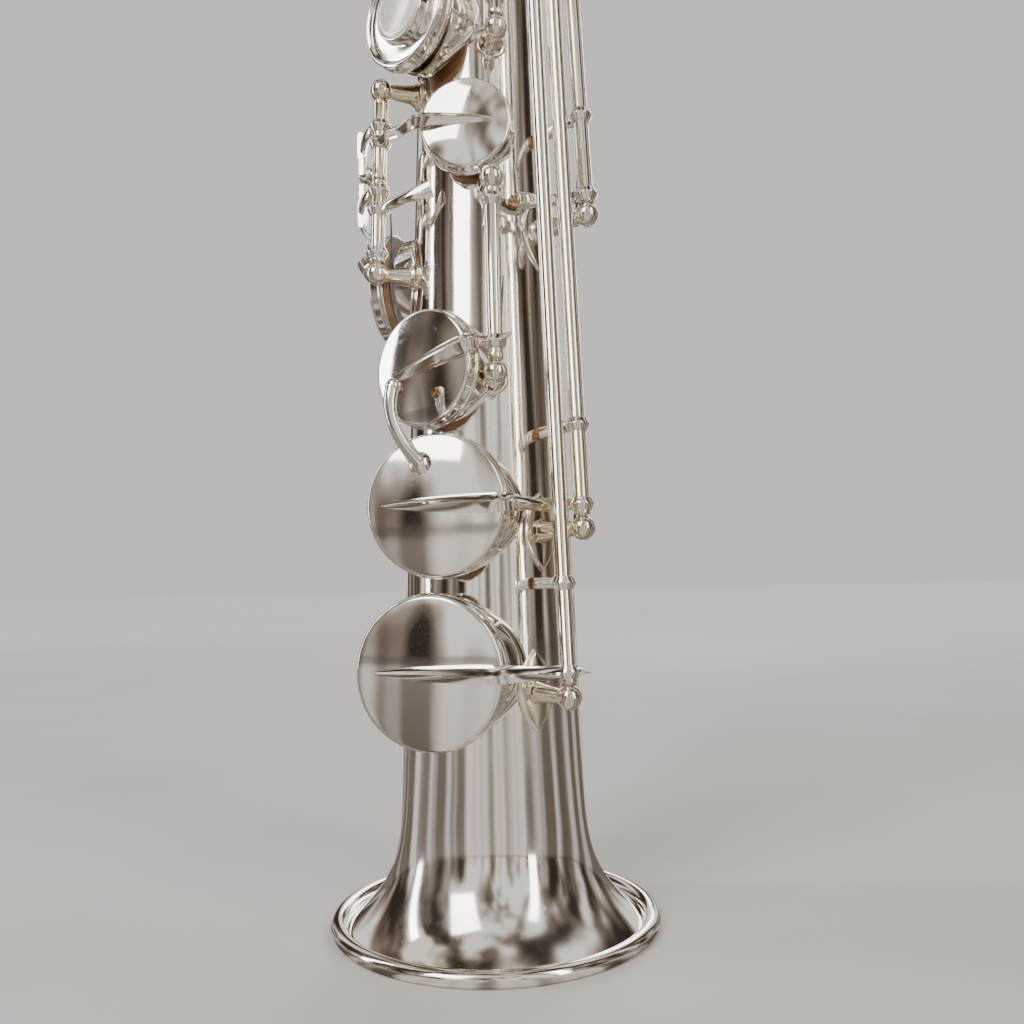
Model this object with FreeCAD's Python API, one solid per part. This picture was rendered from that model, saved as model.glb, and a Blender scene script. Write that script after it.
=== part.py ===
import FreeCAD, Part
import math
import os
from dataclasses import dataclass
from typing import Optional

# A straight soprano saxophone, in millimetres. It stands on its bell: the origin is the centre of the bell's
# resting face, +Z runs up the bore to the mouthpiece, -Y is the front, where the stack keys lie, and +X is
# the player's left. Angles round the body ("turn") start at the front and grow towards the player's left.

Vector = FreeCAD.Vector
UP = Vector(0, 0, 1)

# ---- body
WALL = 0.7
BELL_TOP = 44.0
BODY_TOP = 575.0
NECK_TOP = 640.0
BODY_BASE_RADIUS = 25.7
NECK_TIP_RADIUS = 6.2
BELL_RIM_RADIUS = 46.0
BEAD_RADIUS = 2.1
BEAD_FLAT = 0.15
FLARE_POWER = 4.2
NECK_RING_HEIGHT = 7.0
NECK_RING_WALL = 1.3

# ---- tone holes
CHIMNEY_WALL = 0.9
CHIMNEY_RISE = 2.0
VENT_RADIUS = 2.6
VENT_BORE = 0.9
VENT_HEIGHT = 4.5

# ---- pads and cups
PAD_GAP = 0.35
PAD_OUTSIDE = 1.1
PAD_THICKNESS = 3.4
CUP_WALL = 0.8
CUP_LAP = 2.4
SKIRT = 3.6
CUP_EDGE = 1.1
CUP_DOME = 1.3
CUP_FLOOR_DROP = 0.3
CUP_LEAST_ROOF = 0.4
BEZEL_HEIGHT = 2.6
BEZEL_WALL = 0.8
PEARL_THICKNESS = 1.7
PEARL_DISH = 0.35
SEAT_SLACK = 0.05
ARM_LAP = 0.45

# ---- hinges and posts
HINGE_RADIUS = 2.2
ROD_RADIUS = 1.1
BORE_SLACK = 0.05
END_SLACK = 0.25
TUBE_SLACK = 0.2
BALL_RADIUS = 3.2
STALK_FOOT_RADIUS = 2.9
STALK_NECK_RADIUS = 2.0
COLLAR_RADIUS = 3.3
COLLAR_LENGTH = 3.4
FOOT_THICKNESS = 0.8
FOOT_RADIUS = 4.3
LEAF_HALF_LENGTH = 11.0
LEAF_HALF_WIDTH = 5.6
SPRING_RADIUS = 0.35
UNDER_DEPTH = 6.0
SPRING_DEPTH = 3.1
SPRING_SIDE = 2.9
SPRING_ROOT = 1.4

# ---- corks and felts
CORK_THICKNESS = 1.6
CORK_GAP = 0.3
FELT_THICKNESS = 1.2
FELT_RADIUS = 1.7
STOP_SHIFT = 3.0
LOW_B_FLAT_STOP_Z = 95.0
LOW_B_STOP_Z = 136.0
LEVER_STOP_Z = 222.0
LEVER_STOP_SHIFT = 4.0

# ---- tenon, mouthpiece, ligature and reed
CORK_RADIUS = 8.2
CORK_LOW = 606.0
TENON_SLACK = 0.08
MOUTHPIECE_LOW = 616.0
MOUTHPIECE_LENGTH = 68.0
SHANK_WALL = 2.62
MOUTHPIECE_WALL = 1.32
TENON_DEPTH = 25.5
CHAMBER_RADIUS = 6.0
TABLE_DEPTH = 6.6
TABLE_LENGTH = 42.0
BEAK_TIP_THICKNESS = 1.6
REED_WIDTH = 10.4
REED_THICKNESS = 2.1
REED_LENGTH = 40.0
LIGATURE_LOW = 644.0
LIGATURE_HEIGHT = 20.0
LIGATURE_WALL = 0.8
LIGATURE_SLACK = 0.15
LUG_RADIUS = 2.4
LIGATURE_SCREW_RADIUS = 1.2
SCREW_HEAD_RADIUS = 3.4
SCREW_HEAD_LENGTH = 4.0

# ---- thumb hook, thumb rest and strap ring, on the back
HOOK_Z = 300.0
HOOK_REACH = 21.0
HOOK_WIDTH = 13.0
HOOK_THICKNESS = 1.8
REST_Z = 440.0
REST_RADIUS = 6.5
REST_HEIGHT = 3.0
RING_Z = 352.0
RING_HOLE_RADIUS = 4.5
RING_OUTER_RADIUS = 6.8
RING_THICKNESS = 2.6
BACK = 180.0


def body_radius(z):
    """Outer radius of the conical body and neck at height z."""
    share = (z - BELL_TOP) / (NECK_TOP - BELL_TOP)
    return BODY_BASE_RADIUS + share * (NECK_TIP_RADIUS - BODY_BASE_RADIUS)


def outward(turn):
    """Unit vector pointing away from the bore at that turn."""
    a = math.radians(turn)
    return Vector(math.sin(a), -math.cos(a), 0)


def along(turn):
    """Unit vector along the body's surface at that turn, towards growing turn."""
    a = math.radians(turn)
    return Vector(math.cos(a), math.sin(a), 0)


def spot(turn, off, z):
    """Point at a height above the body's surface."""
    return outward(turn) * (body_radius(z) + off) + UP * z


def turn_of(point):
    """Turn at which a point lies."""
    return math.degrees(math.atan2(point.x, -point.y))


def largest(shape):
    """The largest solid of a shape, without the offcuts of a cut."""
    return max(shape.Solids, key=lambda solid: solid.Volume)


def cone(offset, low=BELL_TOP, high=NECK_TOP):
    """Solid cone of the body, grown by offset."""
    return Part.makeCone(
        body_radius(low) + offset, body_radius(high) + offset, high - low, Vector(0, 0, low), UP
    )


def peg(start, end, radius, end_radius=None):
    """Round bar between two points, tapered if end_radius is given."""
    line = end - start
    if end_radius is None or abs(end_radius - radius) < 1e-9:
        return Part.makeCylinder(radius, line.Length, start, line)
    return Part.makeCone(radius, end_radius, line.Length, start, line)


def turned(points, curves=()):
    """Solid turned about +Z from (radius, height) points. Spans in curves are arcs through a middle point."""
    through = dict(curves)
    edges = []
    for i, (r, h) in enumerate(points):
        r2, h2 = points[(i + 1) % len(points)]
        start, end = Vector(r, 0, h), Vector(r2, 0, h2)
        if i in through:
            edges.append(Part.Arc(start, Vector(through[i][0], 0, through[i][1]), end).toShape())
        else:
            edges.append(Part.LineSegment(start, end).toShape())
    return Part.Face(Part.Wire(edges)).revolve(Vector(0, 0, 0), UP, 360)


def section(centre, side, lift, half_width, half_height, square):
    """Closed smooth outline round centre; square below 1 makes it boxier."""
    points = []
    count = 12
    for k in range(count):
        a = 2 * math.pi * k / count
        c, s = math.cos(a), math.sin(a)
        across = math.copysign(abs(c) ** square, c) * half_width
        above = math.copysign(abs(s) ** square, s) * half_height
        points.append(centre + side * across + lift * above)
    curve = Part.BSplineCurve()
    curve.interpolate(Points=points, PeriodicFlag=True)
    return Part.Wire([curve.toShape()])


def limb(stations, side, square=0.75):
    """Solid arm lofted through stations of (point, half width along side, half height)."""
    wires = []
    for i, (point, half_width, half_height) in enumerate(stations):
        before = stations[max(i - 1, 0)][0]
        after = stations[min(i + 1, len(stations) - 1)][0]
        run = (after - before).normalize()
        across = (side - run * side.dot(run)).normalize()
        wires.append(section(point, across, run.cross(across), half_width, half_height, square))
    return Part.makeLoft(wires, True, False)


def bezier(start, control, end, count):
    """Evenly spaced parameters of a curve from start to end, drawn towards control."""
    points = []
    for k in range(count):
        t = k / (count - 1)
        points.append(start * (1 - t) ** 2 + control * (2 * t * (1 - t)) + end * t**2)
    return points


def joined(first, others):
    """One solid made of first and the others."""
    return largest(first.fuse(others))


@dataclass
class Hinge:
    """A steel rod between posts. Each end is (turn, height above the body, z).

    spring is (post that holds the needle spring, its length, side of the rod that it runs on).
    """

    low: tuple
    high: tuple
    posts: tuple = ()
    leaf_feet: bool = False
    spring: tuple = ("low", 24.0, 1)

    def start(self):
        """Lower end of the hinge line."""
        return spot(*self.low)

    def end(self):
        """Upper end of the hinge line."""
        return spot(*self.high)

    def direction(self):
        """Unit vector up the hinge line."""
        return (self.end() - self.start()).normalize()

    def at(self, z):
        """Point of the hinge line at height z."""
        start, end = self.start(), self.end()
        return start + (end - start) * ((z - start.z) / (end.z - start.z))

    def post_heights(self):
        """Heights of all its posts."""
        return (self.low[2], *self.posts, self.high[2])

    def tube_span(self, low, high):
        """Ends of a hinge tube between two heights, each of them a post or the meeting with the next tube."""
        room = [BALL_RADIUS + TUBE_SLACK if z in self.post_heights() else TUBE_SLACK for z in (low, high)]
        return low + room[0], high - room[1]


# The long rods of the left little finger, the right-hand and left-hand stacks, and the shorter rods.
HINGES = {
    "low_b_flat": Hinge((79.0, 16.8, 66.5), (73.0, 15.6, 392.0), leaf_feet=True),
    "low_b": Hinge((87.4, 17.6, 109.0), (84.0, 15.6, 384.0), leaf_feet=True),
    "low_c_sharp_lever": Hinge((97.0, 18.4, 194.0), (95.0, 15.6, 376.0), leaf_feet=True),
    "low_c_sharp": Hinge((56.0, 9.0, 150.5), (56.0, 9.0, 204.0)),
    "right_little_finger": Hinge((-22.0, 11.3, 184.5), (-22.0, 11.3, 239.6), spring=("low", 14.0, 1)),
    "right_stack": Hinge((60.5, 8.0, 247.5), (60.5, 8.0, 364.0), posts=(308.5,)),
    "left_stack": Hinge((60.5, 8.0, 371.5), (60.5, 8.0, 513.0), posts=(402.0,), spring=("low", 12.0, 1)),
    "g_sharp": Hinge((82.0, 8.6, 399.5), (82.0, 8.6, 424.5), spring=("high", 12.0, -1)),
    "palm_d": Hinge((108.0, 7.5, 514.0), (108.0, 7.5, 536.0), spring=("high", 10.0, 1)),
    "palm_e_flat": Hinge((108.0, 7.5, 543.0), (108.0, 7.5, 563.0), spring=("high", 9.0, 1)),
    "side_b_flat": Hinge((-84.0, 8.0, 334.0), (-84.0, 8.0, 461.0), spring=("high", 22.0, -1)),
    "side_c": Hinge((-104.0, 9.4, 358.0), (-104.0, 9.4, 495.0), spring=("high", 22.0, -1)),
    "octave_lever": Hinge((207.0, 6.6, 425.0), (207.0, 6.6, 458.0), spring=("high", 7.0, 1)),
    "octave_key": Hinge((207.0, 6.6, 465.0), (207.0, 6.6, 600.0), spring=("high", 22.0, -1)),
}


@dataclass
class Key:
    """A pad cup on a hinge. cup is (z, turn, radius), and its tube runs between the two heights of span."""

    name: str
    hinge: str
    cup: tuple
    span: tuple
    open_angle: float = 9.0
    stands_open: bool = True
    style: str = "plain"
    arm_rise: float = 0.0
    under: str = ""
    pearl_radius: Optional[float] = None
    pad: bool = False
    cup_scale: float = 1.0

    def hole_radius(self):
        """Outer radius of the chimney under this cup."""
        return self.cup[2] - CUP_LAP * self.cup_scale

    def side(self):
        """1 if the hinge lies towards growing turn from the cup, and -1 if it lies the other way."""
        return 1 if HINGES[self.hinge].low[0] > self.cup[1] else -1

    def closing_axis(self):
        """Direction about which a positive turn closes the cup."""
        return HINGES[self.hinge].direction() * (-self.side())


RIGHT_HAND_ROD = "right_little_finger"
KEYS = [
    Key("low_b_flat", "low_b_flat", (72.8, 24.0, 20.2), (66.5, 392.0), 11.0, style="spear", pad=True),
    Key(
        "low_b", "low_b", (115.2, 26.0, 19.0), (109.0, 384.0), 11.0, style="spear", under="low_b_flat", pad=True
    ),
    Key(
        "low_c_sharp", "low_c_sharp", (153.5, 16.0, 16.5), (150.5, 204.0), 11.0, False, "spear", 5.0, pad=True
    ),
    Key("low_c", RIGHT_HAND_ROD, (186.0, -64.0, 17.0), (184.5, 212.2), 11.0, True, "spear", 4.5, pad=True),
    Key("e_flat", RIGHT_HAND_ROD, (220.5, 42.0, 13.2), (212.2, 239.6), 9.0, False, "spear", 3.0, pad=True),
    Key("d", "right_stack", (257.0, 0.0, 16.2), (247.5, 273.8), style="pearl", pearl_radius=8.6, pad=True),
    Key("e", "right_stack", (291.0, 0.0, 15.5), (273.8, 308.5), style="pearl", pearl_radius=8.6, pad=True),
    Key("f", "right_stack", (322.5, 0.0, 14.5), (308.5, 336.8), style="pearl", pearl_radius=8.6, pad=True),
    Key("f_sharp", "right_stack", (351.0, 0.0, 12.8), (336.8, 364.0), pad=True),
    Key("g", "left_stack", (381.0, 0.0, 12.4), (371.5, 402.0), style="pearl", pearl_radius=8.0),
    Key("g_sharp", "g_sharp", (411.0, 112.0, 9.6), (399.5, 424.5), 12.0, False, cup_scale=0.75),
    Key("a", "left_stack", (434.0, 0.0, 11.2), (402.0, 448.2), style="pearl", pearl_radius=7.0),
    Key("b", "left_stack", (470.0, 0.0, 10.2), (448.2, 484.6), style="pearl", pearl_radius=6.4),
    Key("c", "left_stack", (501.0, 0.0, 8.4), (484.6, 513.0), cup_scale=0.75),
    Key("palm_d", "palm_d", (525.0, 68.0, 7.4), (514.0, 536.0), 14.0, False, cup_scale=0.7),
    Key("palm_e_flat", "palm_e_flat", (553.0, 68.0, 7.0), (543.0, 563.0), 14.0, False, cup_scale=0.7),
    Key(
        "side_b_flat", "side_b_flat", (452.0, -42.0, 8.4), (334.0, 461.0), 12.0, False, "plain", 0.3,
        cup_scale=0.75,
    ),
    Key("side_c", "side_c", (486.0, -52.0, 7.6), (358.0, 495.0), 12.0, False, cup_scale=0.7),
]
KEY = {key.name: key for key in KEYS}

# Vents of the octave keys: (z, turn), and the key that covers each.
VENTS = {"octave_lever": (432.0, -128.0), "octave_key": (592.0, -128.0)}
LEVER_ARM_Z = 451.0
OCTAVE_TAIL_Z = 471.0


def seat_height(key):
    """Distance from the bore's axis to the flat rim of the key's chimney."""
    return body_radius(key.cup[0]) + CHIMNEY_RISE


def cup_base(key):
    """Distance from the axis to the cup's lower edge, with the key closed."""
    return seat_height(key) + PAD_GAP + PAD_OUTSIDE * key.cup_scale


def cup_heights(key):
    """Heights above the cup's lower edge: top of the pad's pocket, top of the skirt, and crown."""
    pocket = (PAD_THICKNESS - PAD_OUTSIDE) * key.cup_scale + SEAT_SLACK
    skirt = max(SKIRT * key.cup_scale, pocket + CUP_LEAST_ROOF)
    return pocket, skirt, skirt + CUP_EDGE * key.cup_scale


def pearl_cup_floor(key):
    """Height of a pearl cup's floor above its lower edge."""
    pocket, skirt, _ = cup_heights(key)
    return max(skirt - CUP_FLOOR_DROP, pocket + CUP_LEAST_ROOF + CUP_FLOOR_DROP)


def placed_on_body(shape, turn, z):
    """Moves a shape drawn about +Z so that it stands out of the body at that turn and height."""
    frame = FreeCAD.Matrix()
    x_axis, y_axis, z_axis = along(turn), UP, outward(turn)
    frame.A11, frame.A21, frame.A31 = x_axis.x, x_axis.y, x_axis.z
    frame.A12, frame.A22, frame.A32 = y_axis.x, y_axis.y, y_axis.z
    frame.A13, frame.A23, frame.A33 = z_axis.x, z_axis.y, z_axis.z
    frame.A34 = z
    return shape.transformed(frame)


def plain_cup(key):
    """Domed cup with a rounded shoulder and a bead round its lower edge."""
    r = key.cup[2]
    pocket, skirt, crown = cup_heights(key)
    edge = CUP_EDGE * key.cup_scale
    dome = CUP_DOME * key.cup_scale
    lip = 0.5 * key.cup_scale
    bead = 1.3 * key.cup_scale
    inner = r - CUP_WALL
    points = [
        (0, pocket), (inner, pocket), (inner, 0), (r, 0), (r, bead), (r - lip, bead + lip),
        (r - lip, skirt), (r - lip - edge, crown), (0, crown + dome),
    ]
    knee = edge * (1 - math.sqrt(0.5))
    half = (r - lip - edge) / 2
    arcs = [(6, (r - lip - knee, crown - knee)), (7, (half, crown + dome * 0.75))]
    return turned(points, arcs)


def pearl_cup(key):
    """Cup with a raised rim, a flat floor and a round holder for the touch pearl."""
    r = key.cup[2]
    pocket, skirt, _ = cup_heights(key)
    floor = pearl_cup_floor(key)
    rim = 1.6
    bezel = key.pearl_radius + BEZEL_WALL
    top = floor + BEZEL_HEIGHT
    inner = r - CUP_WALL
    points = [
        (0, pocket), (inner, pocket), (inner, 0), (r, 0), (r, skirt), (r - rim, skirt),
        (r - rim - 0.6, floor), (bezel, floor), (bezel, top), (key.pearl_radius, top),
        (key.pearl_radius, top - PEARL_THICKNESS), (0, top - PEARL_THICKNESS),
    ]
    return turned(points, [(4, (r - rim / 2, skirt + rim / 2))])


def pearl_disc(key):
    """Touch pearl with a shallow dish in its top."""
    top = pearl_cup_floor(key) + BEZEL_HEIGHT
    base = top - PEARL_THICKNESS + SEAT_SLACK
    r = key.pearl_radius - SEAT_SLACK
    dish = top - PEARL_DISH
    shape = turned([(0, base), (r, base), (r, top), (r - 0.5, top + 0.25), (1.5, dish), (0, dish)])
    shape.translate(Vector(0, 0, cup_base(key)))
    return placed_on_body(shape, key.cup[1], key.cup[0])


def pad_disc(key):
    """Leather-covered pad, which stands a little out of its cup."""
    r = key.cup[2] - CUP_WALL - SEAT_SLACK
    scale = key.cup_scale
    low, high = -PAD_OUTSIDE * scale, (PAD_THICKNESS - PAD_OUTSIDE) * scale
    shoulder = 0.5 * scale
    shape = turned(
        [(0, low), (r - shoulder, low), (r, low + shoulder), (r, high), (0, high)],
        [(1, (r - shoulder * 0.29, low + shoulder * 0.29))],
    )
    shape.translate(Vector(0, 0, cup_base(key)))
    return placed_on_body(shape, key.cup[1], key.cup[0])


def hinge_tube(hinge_name, low, high):
    """Solid bar for a hinge tube, before its bore is drilled."""
    hinge = HINGES[hinge_name]
    return peg(hinge.at(low), hinge.at(high), HINGE_RADIUS)


def key_tube(key):
    """The key's own hinge tube."""
    return hinge_tube(key.hinge, *HINGES[key.hinge].tube_span(*key.span))


def collar(hinge_name, z, length=COLLAR_LENGTH):
    """Ring round the hinge tube, where an arm is brazed on."""
    hinge = HINGES[hinge_name]
    half = hinge.direction() * (length / 2)
    return peg(hinge.at(z) - half, hinge.at(z) + half, COLLAR_RADIUS)


def drilled(shape, hinge_name):
    """Drills the hinge rod's hole through a key."""
    hinge = HINGES[hinge_name]
    reach = hinge.direction() * 10
    hole = peg(hinge.start() - reach, hinge.end() + reach, ROD_RADIUS + BORE_SLACK)
    return largest(shape.cut(hole))


def cup_arm(key):
    """Arm from the cup's top to the hinge tube."""
    z, turn, r = key.cup
    _, _, crown = cup_heights(key)
    out, way = outward(turn), along(turn) * key.side()
    side = HINGES[key.hinge].direction()
    arm_z = z + key.arm_rise
    pivot = HINGES[key.hinge].at(arm_z)
    centre = UP * z
    reach = (pivot - centre).dot(way)
    pivot_height = (pivot - centre).dot(out)
    top = cup_base(key) + crown
    slope = key.arm_rise / reach

    def place(across, height):
        return centre + way * across + out * height + UP * (slope * across)

    if key.style == "spear":
        dome = CUP_DOME * key.cup_scale
        stations = [
            (place(-0.62 * r, top + dome * 0.45), 0.35, 0.35),
            (place(-0.35 * r, top + dome * 0.85), 1.1, 0.9),
            (place(0.1 * r, top + dome), 1.7, 1.5),
            (place(0.6 * r, top + dome * 0.9), 2.0, 1.9),
            (place(0.98 * r, top + 0.6), 2.1, 1.9),
        ]
        if key.under:
            below = HINGES[key.under].at(arm_z)
            turn_below = turn_of(below)
            duck = below - outward(turn_below) * UNDER_DEPTH
            tail = along(turn_below) * key.side()
            stations += [(duck - tail * 6.0, 1.8, 1.3), (duck, 1.8, 1.2)]
            stations += [(duck + (pivot - duck) * 0.55 + tail * 0.6, 1.7, 1.2), (pivot, 1.6, 1.4)]
            return limb(stations, side)
        stations += [
            (place(0.5 * (0.98 * r + reach), 0.5 * (top + 0.6 + pivot_height) + 0.7), 1.8, 1.7),
            (place(reach - 0.4, pivot_height + 0.5), 1.6, 1.7),
            (place(reach + 3.0, pivot_height + 0.6), 1.2, 1.2),
            (place(reach + 6.0, pivot_height + 0.6), 0.35, 0.35),
        ]
        return limb(stations, side)
    start = -0.1 * r if key.style == "plain" else key.pearl_radius + BEZEL_WALL - ARM_LAP
    height = top + (0.5 if key.style == "plain" else -0.5)
    span = reach - start
    stations = [
        (place(start, height - 0.2), 1.0, 0.9),
        (place(start + 0.35 * span, height + 0.1), 1.6, 1.3),
        (place(start + 0.68 * span, 0.6 * height + 0.4 * pivot_height + 0.4), 1.6, 1.4),
        (place(reach - 0.3, pivot_height + 0.2), 1.5, 1.4),
    ]
    return limb(stations, side)


def key_body(key):
    """Cup, arm, collar and hinge tube as one brazed piece, closed, not yet drilled."""
    cup = pearl_cup(key) if key.style == "pearl" else plain_cup(key)
    cup.translate(Vector(0, 0, cup_base(key)))
    cup = placed_on_body(cup, key.cup[1], key.cup[0])
    arm = cup_arm(key).cut(pad_pocket(key))
    return joined(cup, [arm, collar(key.hinge, key.cup[0] + key.arm_rise), key_tube(key)])


def pad_pocket(key):
    """Room for the pad inside the cup, kept clear of the arm."""
    pocket, _, _ = cup_heights(key)
    shape = Part.makeCylinder(key.cup[2] - CUP_WALL, pocket + 5, Vector(0, 0, -5))
    shape.translate(Vector(0, 0, cup_base(key)))
    return placed_on_body(shape, key.cup[1], key.cup[0])


def at_rest(shape, key):
    """Turns a shape drawn closed to the angle where the key stands by itself."""
    if not key.stands_open:
        return shape
    rested = shape.copy()
    rested.rotate(HINGES[key.hinge].start(), key.closing_axis(), -key.open_angle)
    return rested


def foot(hinge_name, z, turn_shift):
    """Stop that reaches from a hinge down to a cork near the body. Gives the foot and its cork."""
    hinge = HINGES[hinge_name]
    pivot = hinge.at(z)
    turn = turn_of(pivot) + turn_shift
    tip = spot(turn, CORK_GAP + CORK_THICKNESS, z)
    way = (tip - pivot).normalize()
    side = hinge.direction()
    arm = limb([(pivot, 1.5, 1.3), (pivot + (tip - pivot) * 0.5, 1.5, 1.1), (tip, 1.6, 1.5)], side, 0.6)
    cork = limb([(tip, 1.6, 1.5), (tip + way * (CORK_THICKNESS * 0.97), 1.6, 1.5)], side, 0.6)
    return arm, cork


def touch_plate(path, widths, thickness, side):
    """Finger plate lofted along a path with rounded ends."""
    stations = [(p, w, thickness) for p, w in zip(path, widths)]
    return limb(stations, side, 0.7)


# ---- the left little finger's table: plates over the rods, one above the other. Values are z of the centre.
TABLE_PLATES = {"low_b_flat": 337.0, "low_b": 351.0, "low_c_sharp_lever": 365.0}
PLATE_HALF_HEIGHT = 5.9
PLATE_REACH = 17.0
PLATE_THICKNESS = 0.9
PLATE_RISE = 5.2
PLATE_TURN_SHARE = 0.85
G_SHARP_TOUCH = (55.0, 20.0, 383.0)
G_SHARP_ARM_BEND = (66.0, 21.5, 403.0)


def table_plate(name):
    """Plate of the left little finger's table, on the front side of its rod."""
    z = TABLE_PLATES[name]
    hinge = HINGES[name]
    pivot = hinge.at(z)
    inner = HINGES["low_b_flat"].at(z)
    first = HINGES["low_b_flat"]
    turn = first.low[0] + (first.high[0] - first.low[0]) * PLATE_TURN_SHARE
    out, back = outward(turn), along(turn) * -1
    lift = out * PLATE_RISE
    near = inner + lift + back * 2.0
    far = inner + out * (PLATE_RISE - 2.6) + back * (PLATE_REACH + 2.0)
    middle = (near + far) * 0.5 + out * 0.7
    path = bezier(near, middle, far, 5)
    widths = [PLATE_HALF_HEIGHT * share for share in (0.55, 0.95, 1.0, 0.95, 0.5)]
    plate = touch_plate(path, widths, PLATE_THICKNESS, UP)
    crest = pivot + out * (PLATE_RISE + 1.8) + back * 0.4
    bridge = bezier(pivot + out * 0.6, crest, near + back * 3.0 - out * 0.1, 5)
    arm = limb([(p, 1.7, 1.0) for p in bridge], UP)
    return joined(plate, [arm, collar(name, z)])


def low_b_flat_key():
    """The low B flat key, with its stop on the body and its plate of the table."""
    key = KEY["low_b_flat"]
    stop, cork = foot(key.hinge, LOW_B_FLAT_STOP_Z, STOP_SHIFT)
    body = at_rest(key_body(key), key)
    whole = joined(body, [stop, collar(key.hinge, LOW_B_FLAT_STOP_Z), table_plate(key.hinge)])
    return {"low_b_flat_key": drilled(whole, key.hinge), "low_b_flat_cork": cork}


def low_b_key():
    """The low B key, with the finger that holds the low C sharp cup shut."""
    key = KEY["low_b"]
    stop, cork = foot(key.hinge, LOW_B_STOP_Z, STOP_SHIFT)
    z, turn, _ = key.cup
    target = KEY["low_c_sharp"]
    _, _, crown = cup_heights(key)
    top = cup_base(key) + crown
    target_top = cup_base(target) + cup_heights(target)[2] + CUP_DOME
    start = UP * (z + 10.5) + outward(turn) * (top + 0.6) + along(turn) * -3.5
    tip_turn = target.cup[1] - 12.0
    facing = outward(target.cup[1])
    tip = UP * (target.cup[0] - 7.5) + facing * (target_top + CORK_GAP + FELT_THICKNESS + 1.6)
    tip = tip + along(target.cup[1]) * -4.5
    crook = (start + tip) * 0.5 + outward(tip_turn) * 2.2 + along(turn) * -5.0
    path = bezier(start, crook, tip, 6)
    widths = (2.2, 1.7, 1.6, 1.6, 1.8, 1.9)
    finger = limb([(p, w, w * 0.9) for p, w in zip(path, widths)], along(turn), 1.0)
    boss = Part.makeSphere(2.3, start).cut(pad_pocket(key))
    knob = Part.makeSphere(2.2, tip).cut(pad_pocket(key))
    felt_base = tip - facing * 1.7
    felt = peg(felt_base, felt_base - facing * FELT_THICKNESS, FELT_RADIUS)
    whole = largest(joined(key_body(key), [finger, boss, knob]).cut(felt))
    whole = joined(at_rest(whole, key), [stop, collar(key.hinge, LOW_B_STOP_Z), table_plate(key.hinge)])
    corks = Part.makeCompound([cork, at_rest(felt, key)])
    return {"low_b_key": drilled(whole, key.hinge), "low_b_corks": corks}


# ---- the link between the low C sharp lever and its cup
LINK_Z = 197.5
LINK_HEIGHT = 7.6
LINK_TURN = 69.0


def low_c_sharp_key():
    """The low C sharp key, with the tail that the lever presses."""
    key = KEY["low_c_sharp"]
    hinge = HINGES[key.hinge]
    pivot = hinge.at(LINK_Z)
    height = LINK_HEIGHT - 2.4
    bend = spot(LINK_TURN - 6.0, height + 0.8, LINK_Z)
    near, far = spot(LINK_TURN - 2.0, height, LINK_Z), spot(LINK_TURN + 5.0, height, LINK_Z)
    tail = limb([(pivot, 1.7, 1.3), (bend, 1.7, 1.1), (near, 2.2, 0.9), (far, 2.0, 0.8)], UP, 0.6)
    whole = joined(key_body(key), [tail, collar(key.hinge, LINK_Z)])
    return {"low_c_sharp_key": drilled(whole, key.hinge)}


def low_c_sharp_lever():
    """The long lever from the left little finger's table down to the low C sharp key's tail."""
    name = "low_c_sharp_lever"
    hinge = HINGES[name]
    tube = hinge_tube(name, LINK_Z - 0.1, hinge.high[2] - BALL_RADIUS - TUBE_SLACK)
    pivot = hinge.at(LINK_Z + 2.0)
    tip = spot(LINK_TURN, LINK_HEIGHT + CORK_THICKNESS, LINK_Z + 0.5)
    low = spot(89.0, LINK_HEIGHT + 1.6, LINK_Z + 1.5)
    path = bezier(pivot, low, tip, 5)
    arm = limb([(p, w, 1.1) for p, w in zip(path, (1.6, 1.6, 1.7, 1.9, 2.2))], UP, 0.6)
    down = outward(LINK_TURN) * -1
    base = tip + down * 1.0
    cork = Part.makeBox(3.2, 3.2, CORK_THICKNESS - CORK_GAP, Vector(-1.6, -1.6, 0))
    cork = placed_on_body(cork, LINK_TURN, 0)
    cork.translate(base + down * (CORK_THICKNESS - CORK_GAP))
    stop, stop_cork = foot(name, LEVER_STOP_Z, LEVER_STOP_SHIFT)
    collars = [collar(name, LINK_Z + 2.0), collar(name, LEVER_STOP_Z)]
    whole = joined(tube, [arm, stop, table_plate(name)] + collars)
    whole = largest(whole.cut(cork))
    return {
        "low_c_sharp_lever": drilled(whole, name),
        "low_c_sharp_corks": Part.makeCompound([cork, stop_cork]),
    }


# ---- the right little finger's touches and their rollers
ROLLER_RADIUS = 2.2
ROLLER_LENGTH = 12.0
ROLLER_PIN_RADIUS = 0.7
ROLLER_GAP = 0.6
TOUCH_TURN = -52.0
TOUCH_HEIGHT = 16.0
TOUCH_SPLIT_Z = 217.5
TOUCH_HALF_HEIGHT = 5.0
LOW_C_ARM_Z = 209.0
LOW_C_STOP_Z = 203.5
E_FLAT_ARM_Z = 228.4


def roller_line(which):
    """Start and end of a roller's axis. which is 1 for the upper touch and -1 for the lower."""
    z = TOUCH_SPLIT_Z + which * (ROLLER_RADIUS + ROLLER_GAP / 2)
    centre = spot(TOUCH_TURN, TOUCH_HEIGHT, TOUCH_SPLIT_Z)
    centre = Vector(centre.x, centre.y, z)
    way = along(TOUCH_TURN)
    return centre - way * (ROLLER_LENGTH / 2), centre + way * (ROLLER_LENGTH / 2)


def roller(which):
    """Roller of a touch, bored for its pin. which is 1 for the upper touch and -1 for the lower."""
    start, end = roller_line(which)
    hole = peg(start - (end - start), end + (end - start), ROLLER_PIN_RADIUS + BORE_SLACK)
    return peg(start, end, ROLLER_RADIUS).cut(hole)


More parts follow.
